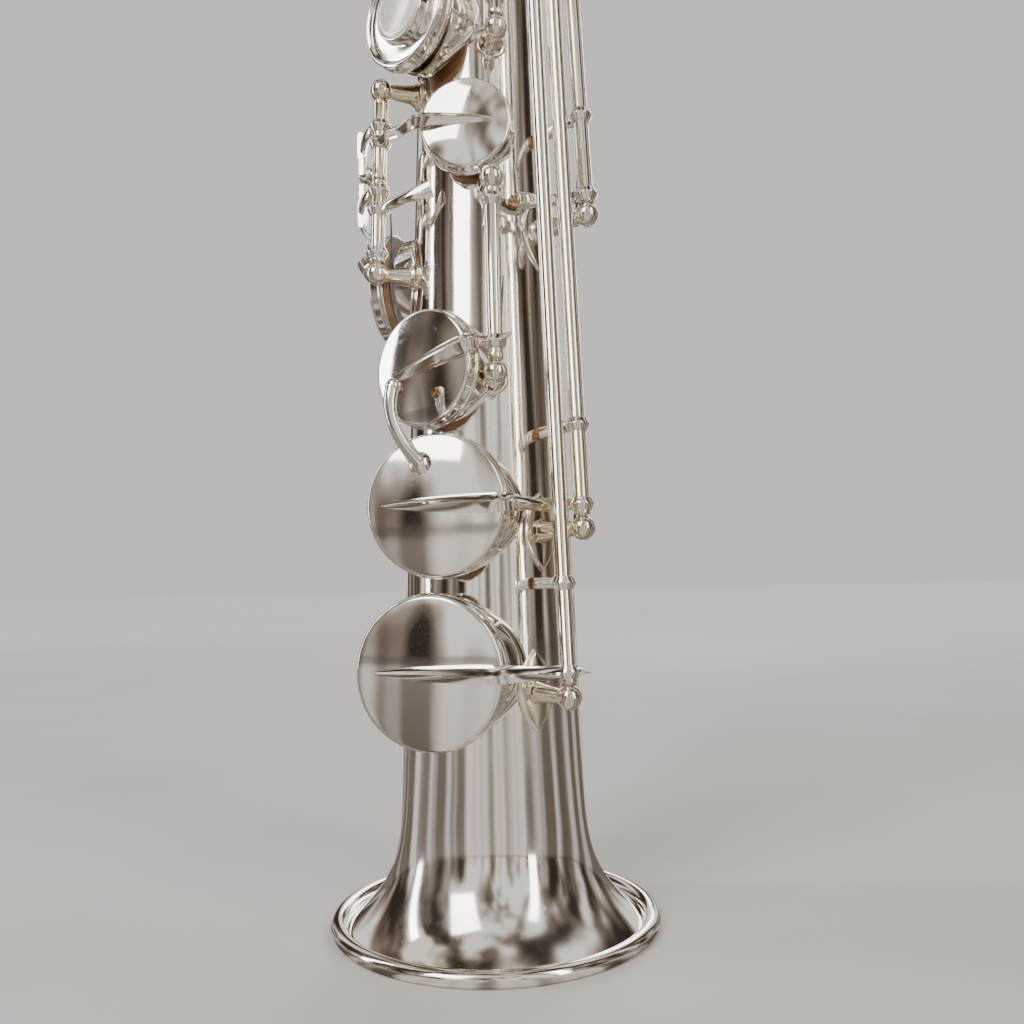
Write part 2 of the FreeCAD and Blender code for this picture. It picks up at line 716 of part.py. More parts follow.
def roller_touch(which):
    """Touch plate behind a roller, with the two ears and the pin that carry it."""
    start, end = roller_line(which)
    way = along(TOUCH_TURN)
    out = outward(TOUCH_TURN)
    z = start.z + which * (ROLLER_RADIUS + 0.8 + TOUCH_HALF_HEIGHT)
    ear = 1.1
    plate_low, plate_high = start - way * (END_SLACK + ear), end + way * (END_SLACK + ear)
    lift = UP * (z - start.z) + out * 0.3
    path = [plate_low + lift, plate_low * 0.75 + plate_high * 0.25 + lift + out * 0.3]
    path += [(plate_low + plate_high) * 0.5 + lift + out * 0.4]
    path += [plate_low * 0.25 + plate_high * 0.75 + lift + out * 0.3, plate_high + lift]
    half = TOUCH_HALF_HEIGHT
    plate = touch_plate(path, [half * 0.86, half, half, half, half * 0.86], 0.9, UP)
    pieces = []
    for end_point, sign in ((start, -1), (end, 1)):
        face = end_point + way * (sign * END_SLACK)
        outer = face + way * (sign * ear)
        ear_path = [(face + outer) * 0.5 - UP * (which * 1.0), (face + outer) * 0.5 + UP * (which * 4.6)]
        pieces.append(limb([(p, ear / 2, 1.3) for p in ear_path], way, 0.6))
    pin = peg(plate_low + way * 0.3, plate_high - way * 0.3, ROLLER_PIN_RADIUS)
    return joined(plate, pieces + [pin])


def touch_arm(which, z):
    """Arm from the hinge tube at height z to the touch plate, with its collar."""
    hinge = HINGES[RIGHT_HAND_ROD]
    turn = hinge.low[0]
    pivot = hinge.at(z)
    plate_z = TOUCH_SPLIT_Z + which * (2 * ROLLER_RADIUS + TOUCH_HALF_HEIGHT)
    target = spot(TOUCH_TURN, TOUCH_HEIGHT + 0.6, plate_z) + along(TOUCH_TURN) * 5.5
    crest = pivot + outward(turn - 8.0) * 4.5 + along(turn) * -2.0
    arm = limb([(p, 1.7, 1.0) for p in bezier(pivot + outward(turn) * 0.4, crest, target, 5)], UP)
    return [arm, collar(RIGHT_HAND_ROD, z)]


def low_c_key():
    """The low C key: cup on the player's right, little-finger touch, and stop over the front of the body."""
    key = KEY["low_c"]
    stop_z = LOW_C_STOP_Z
    tip = spot(13.0, 1.1 + CORK_GAP + CORK_THICKNESS, stop_z + 2.5)
    path = bezier(HINGES[key.hinge].at(stop_z), spot(-4.0, 10.0, stop_z - 1.0), tip, 6)
    stop = limb([(p, w, 1.0) for p, w in zip(path, (1.7, 1.6, 1.6, 1.7, 2.2, 2.8))], UP, 0.7)
    pieces = [roller_touch(-1), stop, collar(key.hinge, stop_z)] + touch_arm(-1, LOW_C_ARM_Z)
    whole = joined(at_rest(key_body(key), key), pieces)
    return {"low_c_key": drilled(whole, key.hinge), "low_c_roller": roller(-1)}


def e_flat_key():
    """The E flat key: a small cup over the front, and the upper little-finger touch."""
    key = KEY["e_flat"]
    whole = joined(e_flat_body(key), [roller_touch(1)] + touch_arm(1, E_FLAT_ARM_Z))
    return {"e_flat_key": drilled(whole, key.hinge), "e_flat_roller": roller(1)}


def e_flat_body(key):
    """Cup with the long arm that curves round the body to the hinge."""
    z, turn, r = key.cup
    cup = plain_cup(key)
    cup.translate(Vector(0, 0, cup_base(key)))
    cup = placed_on_body(cup, turn, z)
    _, _, crown = cup_heights(key)
    top = cup_base(key) + crown
    pivot_z = z + key.arm_rise
    pivot = HINGES[key.hinge].at(pivot_z)
    clear = top - body_radius(z) + 1.4
    stations = [
        (outward(turn) * (top + 0.6) + along(turn) * (0.62 * r) + UP * (z - 0.6), 0.35, 0.35),
        (outward(turn) * (top + 1.2) + along(turn) * (0.2 * r) + UP * z, 1.2, 1.0),
        (outward(turn) * (top + 1.3) + along(turn) * (-0.4 * r) + UP * (z + 0.3), 1.7, 1.5),
        (outward(turn) * (top + 1.0) + along(turn) * (-0.95 * r) + UP * (z + 0.8), 1.9, 1.7),
        (spot(2.0, clear + 0.6, z + 1.6), 1.8, 1.5),
        (spot(-10.0, clear + 1.6, z + 2.4), 1.7, 1.5),
        (pivot + outward(-22.0) * 0.6, 1.7, 1.6),
    ]
    arm = limb(stations, UP).cut(pad_pocket(key))
    return joined(cup, [arm, collar(key.hinge, pivot_z), key_tube(key)])


def stack_key(name):
    """One key of the stacks, where it stands at rest."""
    key = KEY[name]
    return {name + "_key": drilled(at_rest(key_body(key), key), key.hinge)}


def far_touch(key, z_on_tube, touch_turn, touch_height, touch_z, half_width, half_length):
    """Lever from the hinge tube to a touch on the side away from the cup."""
    hinge = HINGES[key.hinge]
    pivot = hinge.at(z_on_tube)
    near = spot(touch_turn, touch_height, touch_z + half_length)
    far = spot(touch_turn, touch_height - 1.0, touch_z - half_length)
    centre = (near + far) * 0.5 + outward(touch_turn) * 0.8
    across = along(touch_turn)
    widths = [half_width * share for share in (0.6, 0.95, 1.0, 0.95, 0.55)]
    plate = touch_plate(bezier(near, centre, far, 5), widths, PLATE_THICKNESS, across)
    crest = (pivot + near) * 0.5 + outward(touch_turn) * 2.5
    path = bezier(pivot, crest, near - UP * 2.0, 5)
    arm = limb([(p, 1.5, 1.1) for p in path], hinge.direction() + across * 0.3)
    return [plate, arm, collar(key.hinge, z_on_tube)]


def far_touch_key(name, *touch):
    """A closed-standing key whose touch lies beyond its hinge."""
    key = KEY[name]
    whole = joined(key_body(key), far_touch(key, *touch))
    return {name + "_key": drilled(whole, key.hinge)}


def g_sharp_key():
    """The G sharp key, whose touch is the top plate of the left little finger's table."""
    key = KEY["g_sharp"]
    turn, arm_z = G_SHARP_TOUCH[0], G_SHARP_ARM_BEND[2] + 2.0
    centre, back = spot(*G_SHARP_TOUCH), along(turn)
    path = bezier(centre + back * 8.5, centre + outward(turn) * 0.8, centre - back * 8.5, 5)
    plate = touch_plate(path, [5.0 * share for share in (0.6, 0.95, 1.0, 0.95, 0.5)], PLATE_THICKNESS, UP)
    under = centre + UP * 2.5 + outward(turn) * 0.2
    path = bezier(HINGES[key.hinge].at(arm_z), spot(*G_SHARP_ARM_BEND), under, 6)
    arm = limb([(p, 1.1, 1.6) for p in path], outward(G_SHARP_ARM_BEND[0]))
    whole = joined(key_body(key), [plate, arm, collar(key.hinge, arm_z)])
    return {"g_sharp_key": drilled(whole, key.hinge)}


def vent_cap(name):
    """Small cup over an octave vent, its arm and its hinge tube."""
    z, turn = VENTS[name]
    hinge = HINGES[name]
    low, high = hinge.tube_span(hinge.low[2], hinge.high[2])
    top = body_radius(z) + VENT_HEIGHT + PAD_GAP
    cap = turned([(0, 1.2), (2.6, 1.2), (2.6, 0.0), (3.3, 0.0), (3.3, 2.2), (2.4, 2.9), (0, 3.0)])
    cap.translate(Vector(0, 0, top))
    cap = placed_on_body(cap, turn, z)
    pivot = hinge.at(z)
    start = outward(turn) * (top + 2.7) + UP * z
    middle = (start + pivot) * 0.5 + outward((turn + hinge.low[0] - 360) / 2) * 2.6
    arm = limb([(p, 1.2, 0.8) for p in bezier(start, middle, pivot, 5)], UP)
    return joined(cap, [arm, collar(name, z, 2.6), hinge_tube(name, low, high)])


def octave_lever():
    """Thumb lever over the back of the body, with the lower vent's cap."""
    name = "octave_lever"
    pivot = HINGES[name].at(LEVER_ARM_Z)
    start, end = spot(188.0, 9.0, LEVER_ARM_Z + 1.0), spot(160.0, 8.4, LEVER_ARM_Z + 6.0)
    path = bezier(start, spot(174.0, 9.6, LEVER_ARM_Z + 3.5), end, 5)
    plate = touch_plate(path, [4.6, 6.0, 6.4, 6.0, 3.6], PLATE_THICKNESS, UP)
    arm = limb([(p, 1.6, 1.0) for p in bezier(pivot, spot(199.0, 10.4, LEVER_ARM_Z), start, 4)], UP)
    whole = joined(vent_cap(name), [plate, arm, collar(name, LEVER_ARM_Z)])
    return {"octave_lever": drilled(whole, name)}


def octave_key():
    """Long key from the thumb lever up to the vent on the neck."""
    name = "octave_key"
    pivot = HINGES[name].at(OCTAVE_TAIL_Z)
    tip = spot(176.0, 6.0, OCTAVE_TAIL_Z - 2.5)
    path = bezier(pivot, spot(194.0, 8.4, OCTAVE_TAIL_Z - 1.0), tip, 5)
    tail = limb([(p, 1.5, 0.9) for p in path], UP)
    whole = joined(vent_cap(name), [tail, collar(name, OCTAVE_TAIL_Z)])
    return {"octave_key": drilled(whole, name)}


# ---- body, bell and fixed fittings


def flare_radius(z):
    """Outer radius of the bell at height z."""
    share = 1 - z / BELL_TOP
    mouth = BELL_RIM_RADIUS - BEAD_RADIUS
    straight = body_radius(BELL_TOP) + (body_radius(0) - body_radius(BELL_TOP)) * share
    return straight + (mouth - body_radius(0)) * share**FLARE_POWER


def bell_parts():
    """The bell's flare, and the bead rolled round its rim."""
    heights = [BELL_TOP * (k / 12) ** 1.5 for k in range(13)]
    outer = [Vector(flare_radius(h), 0, h) for h in heights]
    inner = [Vector(flare_radius(h) - WALL, 0, h) for h in heights]
    outside, inside = Part.BSplineCurve(), Part.BSplineCurve()
    outside.interpolate(outer)
    inside.interpolate(inner)
    edges = [
        outside.toShape(),
        Part.LineSegment(outer[-1], inner[-1]).toShape(),
        inside.toShape(),
        Part.LineSegment(inner[0], outer[0]).toShape(),
    ]
    flare = Part.Face(Part.Wire(Part.__sortEdges__(edges))).revolve(Vector(0, 0, 0), UP, 360)
    centre_height = BEAD_RADIUS - BEAD_FLAT
    bead = Part.makeTorus(BELL_RIM_RADIUS - BEAD_RADIUS, BEAD_RADIUS, Vector(0, 0, centre_height))
    below = Part.makeCylinder(BELL_RIM_RADIUS * 2, 10, Vector(0, 0, -10))
    bead = bead.cut(below)
    return {"bell": flare.cut([below, bead]), "bell_rim_bead": bead}


def chimney(key, radius):
    """Bar along a tone hole's axis, from the bore out to the chimney's rim."""
    z, turn, _ = key.cup
    height = body_radius(z) + CHIMNEY_RISE
    return Part.makeCylinder(radius, height, UP * z, outward(turn))


def body_parts():
    """The body and neck with their drawn tone holes, and the ring between them."""
    outer = cone(0, BELL_TOP, BODY_TOP)
    inner = cone(-WALL, BELL_TOP, BODY_TOP)
    outer = outer.fuse([chimney(key, key.hole_radius()) for key in KEYS])
    holes = []
    for key in KEYS:
        z, turn, _ = key.cup
        holes.append(
            Part.makeCylinder(key.hole_radius() - CHIMNEY_WALL, body_radius(z) + 10, UP * z, outward(turn))
        )
    z, turn = VENTS["octave_lever"]
    holes.append(Part.makeCylinder(VENT_BORE, 40, UP * z, outward(turn)))
    body = outer.cut([inner] + holes)
    z, turn = VENTS["octave_key"]
    neck = cone(0, BODY_TOP, NECK_TOP).cut(
        [cone(-WALL, BODY_TOP, NECK_TOP), Part.makeCylinder(VENT_BORE, 40, UP * z, outward(turn))]
    )
    half = NECK_RING_HEIGHT / 2
    wide = body_radius(BODY_TOP) + NECK_RING_WALL
    upper = [(wide, half - 0.6), (wide - 0.5, half), (2, half)]
    ring = turned([(r, -h) for r, h in reversed(upper)] + upper)
    ring.translate(UP * BODY_TOP)
    ring = ring.cut(cone(0))
    return {"body_tube": body, "neck_tube": neck, "neck_ring": ring}


def vent_parts():
    """Small soldered tubes of the two octave vents."""
    tubes = []
    for z, turn in VENTS.values():
        rim = body_radius(z) + VENT_HEIGHT
        tube = Part.makeCylinder(VENT_RADIUS - 0.6, rim, UP * z, outward(turn))
        tube = tube.fuse(Part.makeCylinder(VENT_RADIUS + 1.2, body_radius(z) + 1.0, UP * z, outward(turn)))
        tube = tube.cut([cone(0), Part.makeCylinder(VENT_BORE, 60, UP * z, outward(turn))])
        tubes.append(largest(tube))
    return {"octave_vents": Part.makeCompound(tubes)}


def post(hinge, z):
    """Ball-headed post under a hinge, bored for its rod. Gives the post and its foot plate."""
    ball_centre = hinge.at(z)
    turn = turn_of(ball_centre)
    root = spot(turn, -3.0, z)
    stalk = peg(root, ball_centre, STALK_FOOT_RADIUS, STALK_NECK_RADIUS)
    ball = Part.makeSphere(BALL_RADIUS, ball_centre)
    way = hinge.direction()
    bore = peg(ball_centre - way * 10, ball_centre + way * 10, ROD_RADIUS + BORE_SLACK)
    near = [chimney(key, key.hole_radius()) for key in KEYS if abs(key.cup[0] - z) < 40]
    solid = largest(stalk.fuse(ball).cut([cone(FOOT_THICKNESS), bore] + near))
    if hinge.leaf_feet and z == hinge.low[2]:
        plan = leaf(LEAF_HALF_LENGTH, LEAF_HALF_WIDTH)
    else:
        plan = Part.makeCylinder(FOOT_RADIUS, 60)
    plan = placed_on_body(plan, turn, z)
    plate = cone(FOOT_THICKNESS).cut(cone(0)).common(plan)
    return solid, largest(plate.cut(near) if near else plate)


def leaf(half_length, half_width):
    """Pointed leaf-shaped prism, long along its local Y."""
    top, bottom = Vector(0, half_length, 0), Vector(0, -half_length, 0)
    right = Part.Arc(bottom, Vector(half_width, 0, 0), top).toShape()
    left = Part.Arc(top, Vector(-half_width, 0, 0), bottom).toShape()
    return Part.Face(Part.Wire([right, left])).extrude(Vector(0, 0, 60))


def rod(hinge):
    """Steel rod through the posts and tubes, with a screwdriver slot in its lower end."""
    way = hinge.direction()
    start = hinge.start() - way * (BALL_RADIUS - 0.7)
    end = hinge.end() + way * (BALL_RADIUS - 0.7)
    slot = Part.makeBox(0.5, ROD_RADIUS * 3, 1.4, Vector(-0.25, -ROD_RADIUS * 1.5, -0.7))
    slot.translate(start)
    return peg(start, end, ROD_RADIUS).cut(slot)


def posts_and_rods():
    """All posts, foot plates, hinge rods and needle springs."""
    posts, feet, rods, springs = [], [], [], []
    for hinge in HINGES.values():
        rods.append(rod(hinge))
        own_posts = []
        for z in hinge.post_heights():
            solid, plate = post(hinge, z)
            own_posts.append(solid)
            feet.append(plate)
        posts += own_posts
        springs.append(needle_spring(hinge, own_posts))
    return {
        "key_posts": Part.makeCompound(posts),
        "post_feet": Part.makeCompound(feet),
        "hinge_rods": Part.makeCompound(rods),
        "needle_springs": Part.makeCompound(springs),
    }


def needle_spring(hinge, posts):
    """Blued needle spring, pressed into a post and running beside the hinge tube."""
    which, length, side = hinge.spring
    root_centre, way = (hinge.start(), 1) if which == "low" else (hinge.end(), -1)
    turn = turn_of(root_centre)
    body, across = outward(turn) * -1, along(turn) * side
    root = root_centre + body * (SPRING_DEPTH + SPRING_ROOT) + across
    line = hinge.direction() * way
    tip = root_centre + line * (BALL_RADIUS + length) + body * SPRING_DEPTH + across * SPRING_SIDE
    return largest(peg(root, tip, SPRING_RADIUS, SPRING_RADIUS * 0.6).cut(posts))


def foot_plate(half_length, half_width, z):
    """Leaf-shaped plate on the back of the body."""
    saddle = cone(FOOT_THICKNESS).cut(cone(0))
    return largest(saddle.common(placed_on_body(leaf(half_length, half_width), BACK, z)))


def thumb_hook():
    """Hook for the right thumb, on its plate."""
    across = along(BACK)
    shape = ((14, HOOK_WIDTH * 0.3), (6, 6), (0, 6))
    strip = [(spot(BACK, 0.9, HOOK_Z - drop), half, 0.9) for drop, half in shape]
    crook = bezier(spot(BACK, 1.0, HOOK_Z - 6), spot(BACK, 2.5, HOOK_Z + 5), spot(BACK, 12, HOOK_Z + 5.5), 6)
    corner, tip = spot(BACK, HOOK_REACH, HOOK_Z + 4), spot(BACK, HOOK_REACH, HOOK_Z - 8)
    crook += bezier(spot(BACK, 14, HOOK_Z + 5.2), corner, tip, 5)
    hook = limb([(p, HOOK_WIDTH / 2, HOOK_THICKNESS / 2) for p in crook], across, 0.6)
    hook = largest(joined(hook, [limb(strip, across, 0.6)]).cut(cone(0)))
    return {"thumb_hook": joined(hook, [foot_plate(15, 9, HOOK_Z - 6)])}


def thumb_rest():
    """Round rest for the left thumb."""
    top = body_radius(REST_Z) + REST_HEIGHT
    r = REST_RADIUS
    rest = turned([(0, 0), (r, 0), (r, top - 1.0), (r - 1.0, top), (0, top)], [(2, (r - 0.3, top - 0.3))])
    return {"thumb_rest": largest(placed_on_body(rest, BACK, REST_Z).cut(cone(0)))}


def strap_ring():
    """Ring for the neck strap, on its plate."""
    centre = spot(BACK, RING_OUTER_RADIUS + 1.4, RING_Z)
    half = along(BACK) * (RING_THICKNESS / 2)
    stem = peg(spot(BACK, -2, RING_Z), spot(BACK, 3.0, RING_Z), 2.6, 1.3).cut(cone(0))
    ring = peg(centre - half, centre + half, RING_OUTER_RADIUS)
    ring = joined(ring, [stem, foot_plate(11, 5.5, RING_Z)])
    return {"strap_ring": ring.cut(peg(centre - half * 3, centre + half * 3, RING_HOLE_RADIUS))}


def tenon_cork():
    """Cork sleeve on the neck, which the mouthpiece slides over."""
    sleeve = Part.makeCylinder(CORK_RADIUS, NECK_TOP - 1 - CORK_LOW, UP * CORK_LOW)
    return {"tenon_cork": sleeve.cut(cone(0))}


def mouthpiece():
    """Beak mouthpiece, bored for the tenon, with its chamber and the window under the reed."""
    low, top = MOUTHPIECE_LOW, MOUTHPIECE_LOW + MOUTHPIECE_LENGTH
    room = CORK_RADIUS + TENON_SLACK
    r, body = room + SHANK_WALL, mouthpiece_radius()
    blank = turned(
        [(0, low), (r - 0.5, low), (r, low + 0.5), (r, low + 6), (r - 0.6, low + 6.6), (body, low + 26),
         (body, top - 22), (body - 1.6, top), (0, top)],
    )
    below_table = Part.makeBox(60, 60, 200, Vector(-30, TABLE_DEPTH, top - TABLE_LENGTH))
    tip_y = TABLE_DEPTH - BEAK_TIP_THICKNESS
    corners = [(-body - 1, top - 30), (tip_y, top), (tip_y, top + 5), (-40, top + 5), (-40, top - 30)]
    outline = [Vector(-30, y, z) for y, z in corners + corners[:1]]
    above_beak = Part.Face(Part.makePolygon(outline)).extrude(Vector(60, 0, 0))
    tenon_room = Part.makeCylinder(room, TENON_DEPTH, UP * low)
    chamber = Part.makeCylinder(CHAMBER_RADIUS, 22, UP * (low + TENON_DEPTH))
    window_low, window_half = low + TENON_DEPTH + 12, (REED_WIDTH - 3) / 2
    corner = Vector(-window_half, TABLE_DEPTH - 5.2, window_low)
    window = Part.makeBox(2 * window_half, 7.2, top - 3 - window_low, corner)
    return {"mouthpiece": largest(blank.cut([below_table, above_beak, tenon_room, chamber, window]))}


def mouthpiece_radius():
    """Outer radius of the mouthpiece where the ligature goes round it."""
    return CORK_RADIUS + TENON_SLACK + MOUTHPIECE_WALL


def reed():
    """Cane reed, thick at its butt and scraped thin towards the tip."""
    top = MOUTHPIECE_LOW + MOUTHPIECE_LENGTH
    butt, face = top - REED_LENGTH, TABLE_DEPTH + SEAT_SLACK
    back = face + REED_THICKNESS
    corners = [(face, butt), (back, butt), (back, butt + 18), (face + 0.9, top - 10), (face + 0.2, top - 0.4),
               (face, top - 0.4), (face, butt)]
    outline = [Vector(-REED_WIDTH / 2, y, z) for y, z in corners]
    return {"reed": Part.Face(Part.makePolygon(outline)).extrude(Vector(REED_WIDTH, 0, 0))}


def ligature():
    """Band that holds the reed, with four lugs and the two screws through them."""
    half = REED_WIDTH / 2
    inner = mouthpiece_radius() + LIGATURE_SLACK
    low, height = LIGATURE_LOW, LIGATURE_HEIGHT
    room_depth = REED_THICKNESS + SEAT_SLACK + 0.15
    reed_room = Part.makeBox(REED_WIDTH + 0.4, room_depth, 60, Vector(-half - 0.2, TABLE_DEPTH, low - 10))
    band = Part.makeCylinder(inner + LIGATURE_WALL, height, UP * low)
    corner = math.hypot(half + 0.2, TABLE_DEPTH + REED_THICKNESS + 0.2) + 0.5
    plate_room = Part.makeBox(2 * half + 3, 20, 80, Vector(-half - 1.5, 0, low - 10))
    back_plate = Part.makeCylinder(corner, height, UP * low).common(plate_room)
    lug_y = corner + LUG_RADIUS * 0.55
    cuts = [Part.makeCylinder(inner, 60, UP * (low - 10)), reed_room]
    cuts.append(Part.makeBox(1.6, 12, height + 2, Vector(-0.8, TABLE_DEPTH + 1, low - 1)))
    lugs, screws = [], {}
    for share, name in ((0.25, "lower"), (0.75, "upper")):
        z = low + height * share
        for x in (-5.0, 2.0):
            lugs.append(peg(Vector(x, lug_y, z), Vector(x + 3.0, lug_y, z), LUG_RADIUS))
        cuts.append(peg(Vector(-20, lug_y, z), Vector(20, lug_y, z), LIGATURE_SCREW_RADIUS + BORE_SLACK))
        screws["ligature_screw_" + name] = ligature_screw(lug_y, z)
    return {"ligature": largest(band.fuse([back_plate] + lugs).cut(cuts)), **screws}


def ligature_screw(y, z):
    """Thumb screw with a slotted head."""
    near_face = -7.4
    far_face = near_face - SCREW_HEAD_LENGTH
    shaft = peg(Vector(near_face - 0.5, y, z), Vector(6.2, y, z), LIGATURE_SCREW_RADIUS)
    head = peg(Vector(far_face, y, z), Vector(near_face, y, z), SCREW_HEAD_RADIUS)
    return shaft.fuse(head.cut(Part.makeBox(1.2, 0.9, 8, Vector(far_face, y - 0.45, z - 4))))


def build():
    """Every node of the saxophone, by name."""
    nodes = {}
    for make in (
        bell_parts, body_parts, vent_parts, posts_and_rods, thumb_hook, thumb_rest, strap_ring, tenon_cork,
        mouthpiece, reed, ligature, low_b_flat_key, low_b_key, low_c_sharp_key, low_c_sharp_lever, low_c_key,
        e_flat_key, g_sharp_key, octave_lever, octave_key,
    ):
        nodes.update(make())
    for name in ("d", "e", "f", "f_sharp", "g", "a", "b", "c"):
        nodes.update(stack_key(name))
    nodes.update(far_touch_key("palm_d", 520.0, 140.0, 13.0, 503.0, 5.0, 9.0))
    nodes.update(far_touch_key("palm_e_flat", 549.0, 140.0, 15.0, 530.0, 5.0, 9.0))
    nodes.update(far_touch_key("side_b_flat", 341.0, -112.0, 15.0, 320.0, 4.6, 8.0))
    nodes.update(far_touch_key("side_c", 365.0, -128.0, 14.0, 344.0, 4.6, 8.0))
    for key in KEYS:
        if key.pad:
            nodes[key.name + "_pad"] = at_rest(pad_disc(key), key)
        if key.pearl_radius:
            nodes[key.name + "_pearl"] = at_rest(pearl_disc(key), key)
    return nodes


def main():
    """Writes one STEP file for each node."""
    os.makedirs("parts", exist_ok=True)
    nodes = build()
    for name, shape in nodes.items():
        shape.exportStep(os.path.join("parts", name + ".step"))
    print(len(nodes), "nodes written")


if __name__ == "__main__":
    main()
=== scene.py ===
import logging
import math
from dataclasses import dataclass, field
from enum import Enum
from typing import Callable, Optional, Sequence, Union

import bmesh
import bpy
from mathutils import Matrix, Vector


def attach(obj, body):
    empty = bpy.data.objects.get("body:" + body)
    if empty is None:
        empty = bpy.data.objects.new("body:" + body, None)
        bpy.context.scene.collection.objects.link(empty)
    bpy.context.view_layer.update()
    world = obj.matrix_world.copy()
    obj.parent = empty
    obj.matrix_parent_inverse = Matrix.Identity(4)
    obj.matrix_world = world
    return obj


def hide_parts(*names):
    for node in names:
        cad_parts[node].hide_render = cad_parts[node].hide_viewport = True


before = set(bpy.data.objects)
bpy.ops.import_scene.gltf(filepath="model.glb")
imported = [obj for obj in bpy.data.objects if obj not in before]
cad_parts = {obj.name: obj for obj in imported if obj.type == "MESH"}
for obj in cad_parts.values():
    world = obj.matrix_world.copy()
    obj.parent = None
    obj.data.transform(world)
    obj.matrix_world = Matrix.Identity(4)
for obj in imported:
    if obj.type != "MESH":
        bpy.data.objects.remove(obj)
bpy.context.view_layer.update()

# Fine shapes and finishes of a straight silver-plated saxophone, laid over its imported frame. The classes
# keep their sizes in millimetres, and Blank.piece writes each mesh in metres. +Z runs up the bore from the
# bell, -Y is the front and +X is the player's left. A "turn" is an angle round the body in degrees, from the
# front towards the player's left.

MM = 0.001
UP = Vector((0, 0, 1))
HORN = "horn"
# Scale of the noise behind the world's bright and dark stretches and the floor's painted reflection streaks.
STREAKS = 3.1
# Half thickness of every touch plate.
TOUCH_HALF = 0.9

Points = list[Vector]
Profile = list[tuple[float, float]]
Station = tuple[Vector, float, float]
Socket = bpy.types.NodeSocket
Value = Union[float, tuple, Socket]

logging.basicConfig(level=logging.INFO, format="%(message)s")
log = logging.getLogger("saxophone")


class Facing(Enum):
    """Side of a hinge, counted by turn."""

    LOWER = -1
    HIGHER = 1


class CupStyle(Enum):
    """Ways in which a pad cup is made."""

    SPEAR = "spear"
    PEARL = "pearl"
    PLAIN = "plain"


class Section(Enum):
    """Cross-sections of a brazed arm: (across, above) round the outline, as shares of its half sizes."""

    OVAL = "oval"
    RIDGE = "ridge"
    STRAP = "strap"

    def outline(self, count: int = 20) -> list[tuple[float, float]]:
        """Points round the section.

        Args:
            count: number of points.

        Returns:
            Pairs of (across, above), each from -1 to 1.
        """
        points = []
        for k in range(count):
            a = 2 * math.pi * k / count
            across, above = math.cos(a), math.sin(a)
            if self is Section.RIDGE:
                flank = 1 - abs(across)
                above = (0.22 + 0.78 * flank**1.6) if above > 0.01 else -0.55 * abs(above) ** 0.5
                above = 0.0 if abs(across) > 0.99 else above
            elif self is Section.STRAP:
                across = math.copysign(abs(across) ** 0.55, across)
                above = math.copysign(abs(above) ** 0.55, above)
            points.append((across, above))
        return points


# ------------------------------------------------------------ finishes


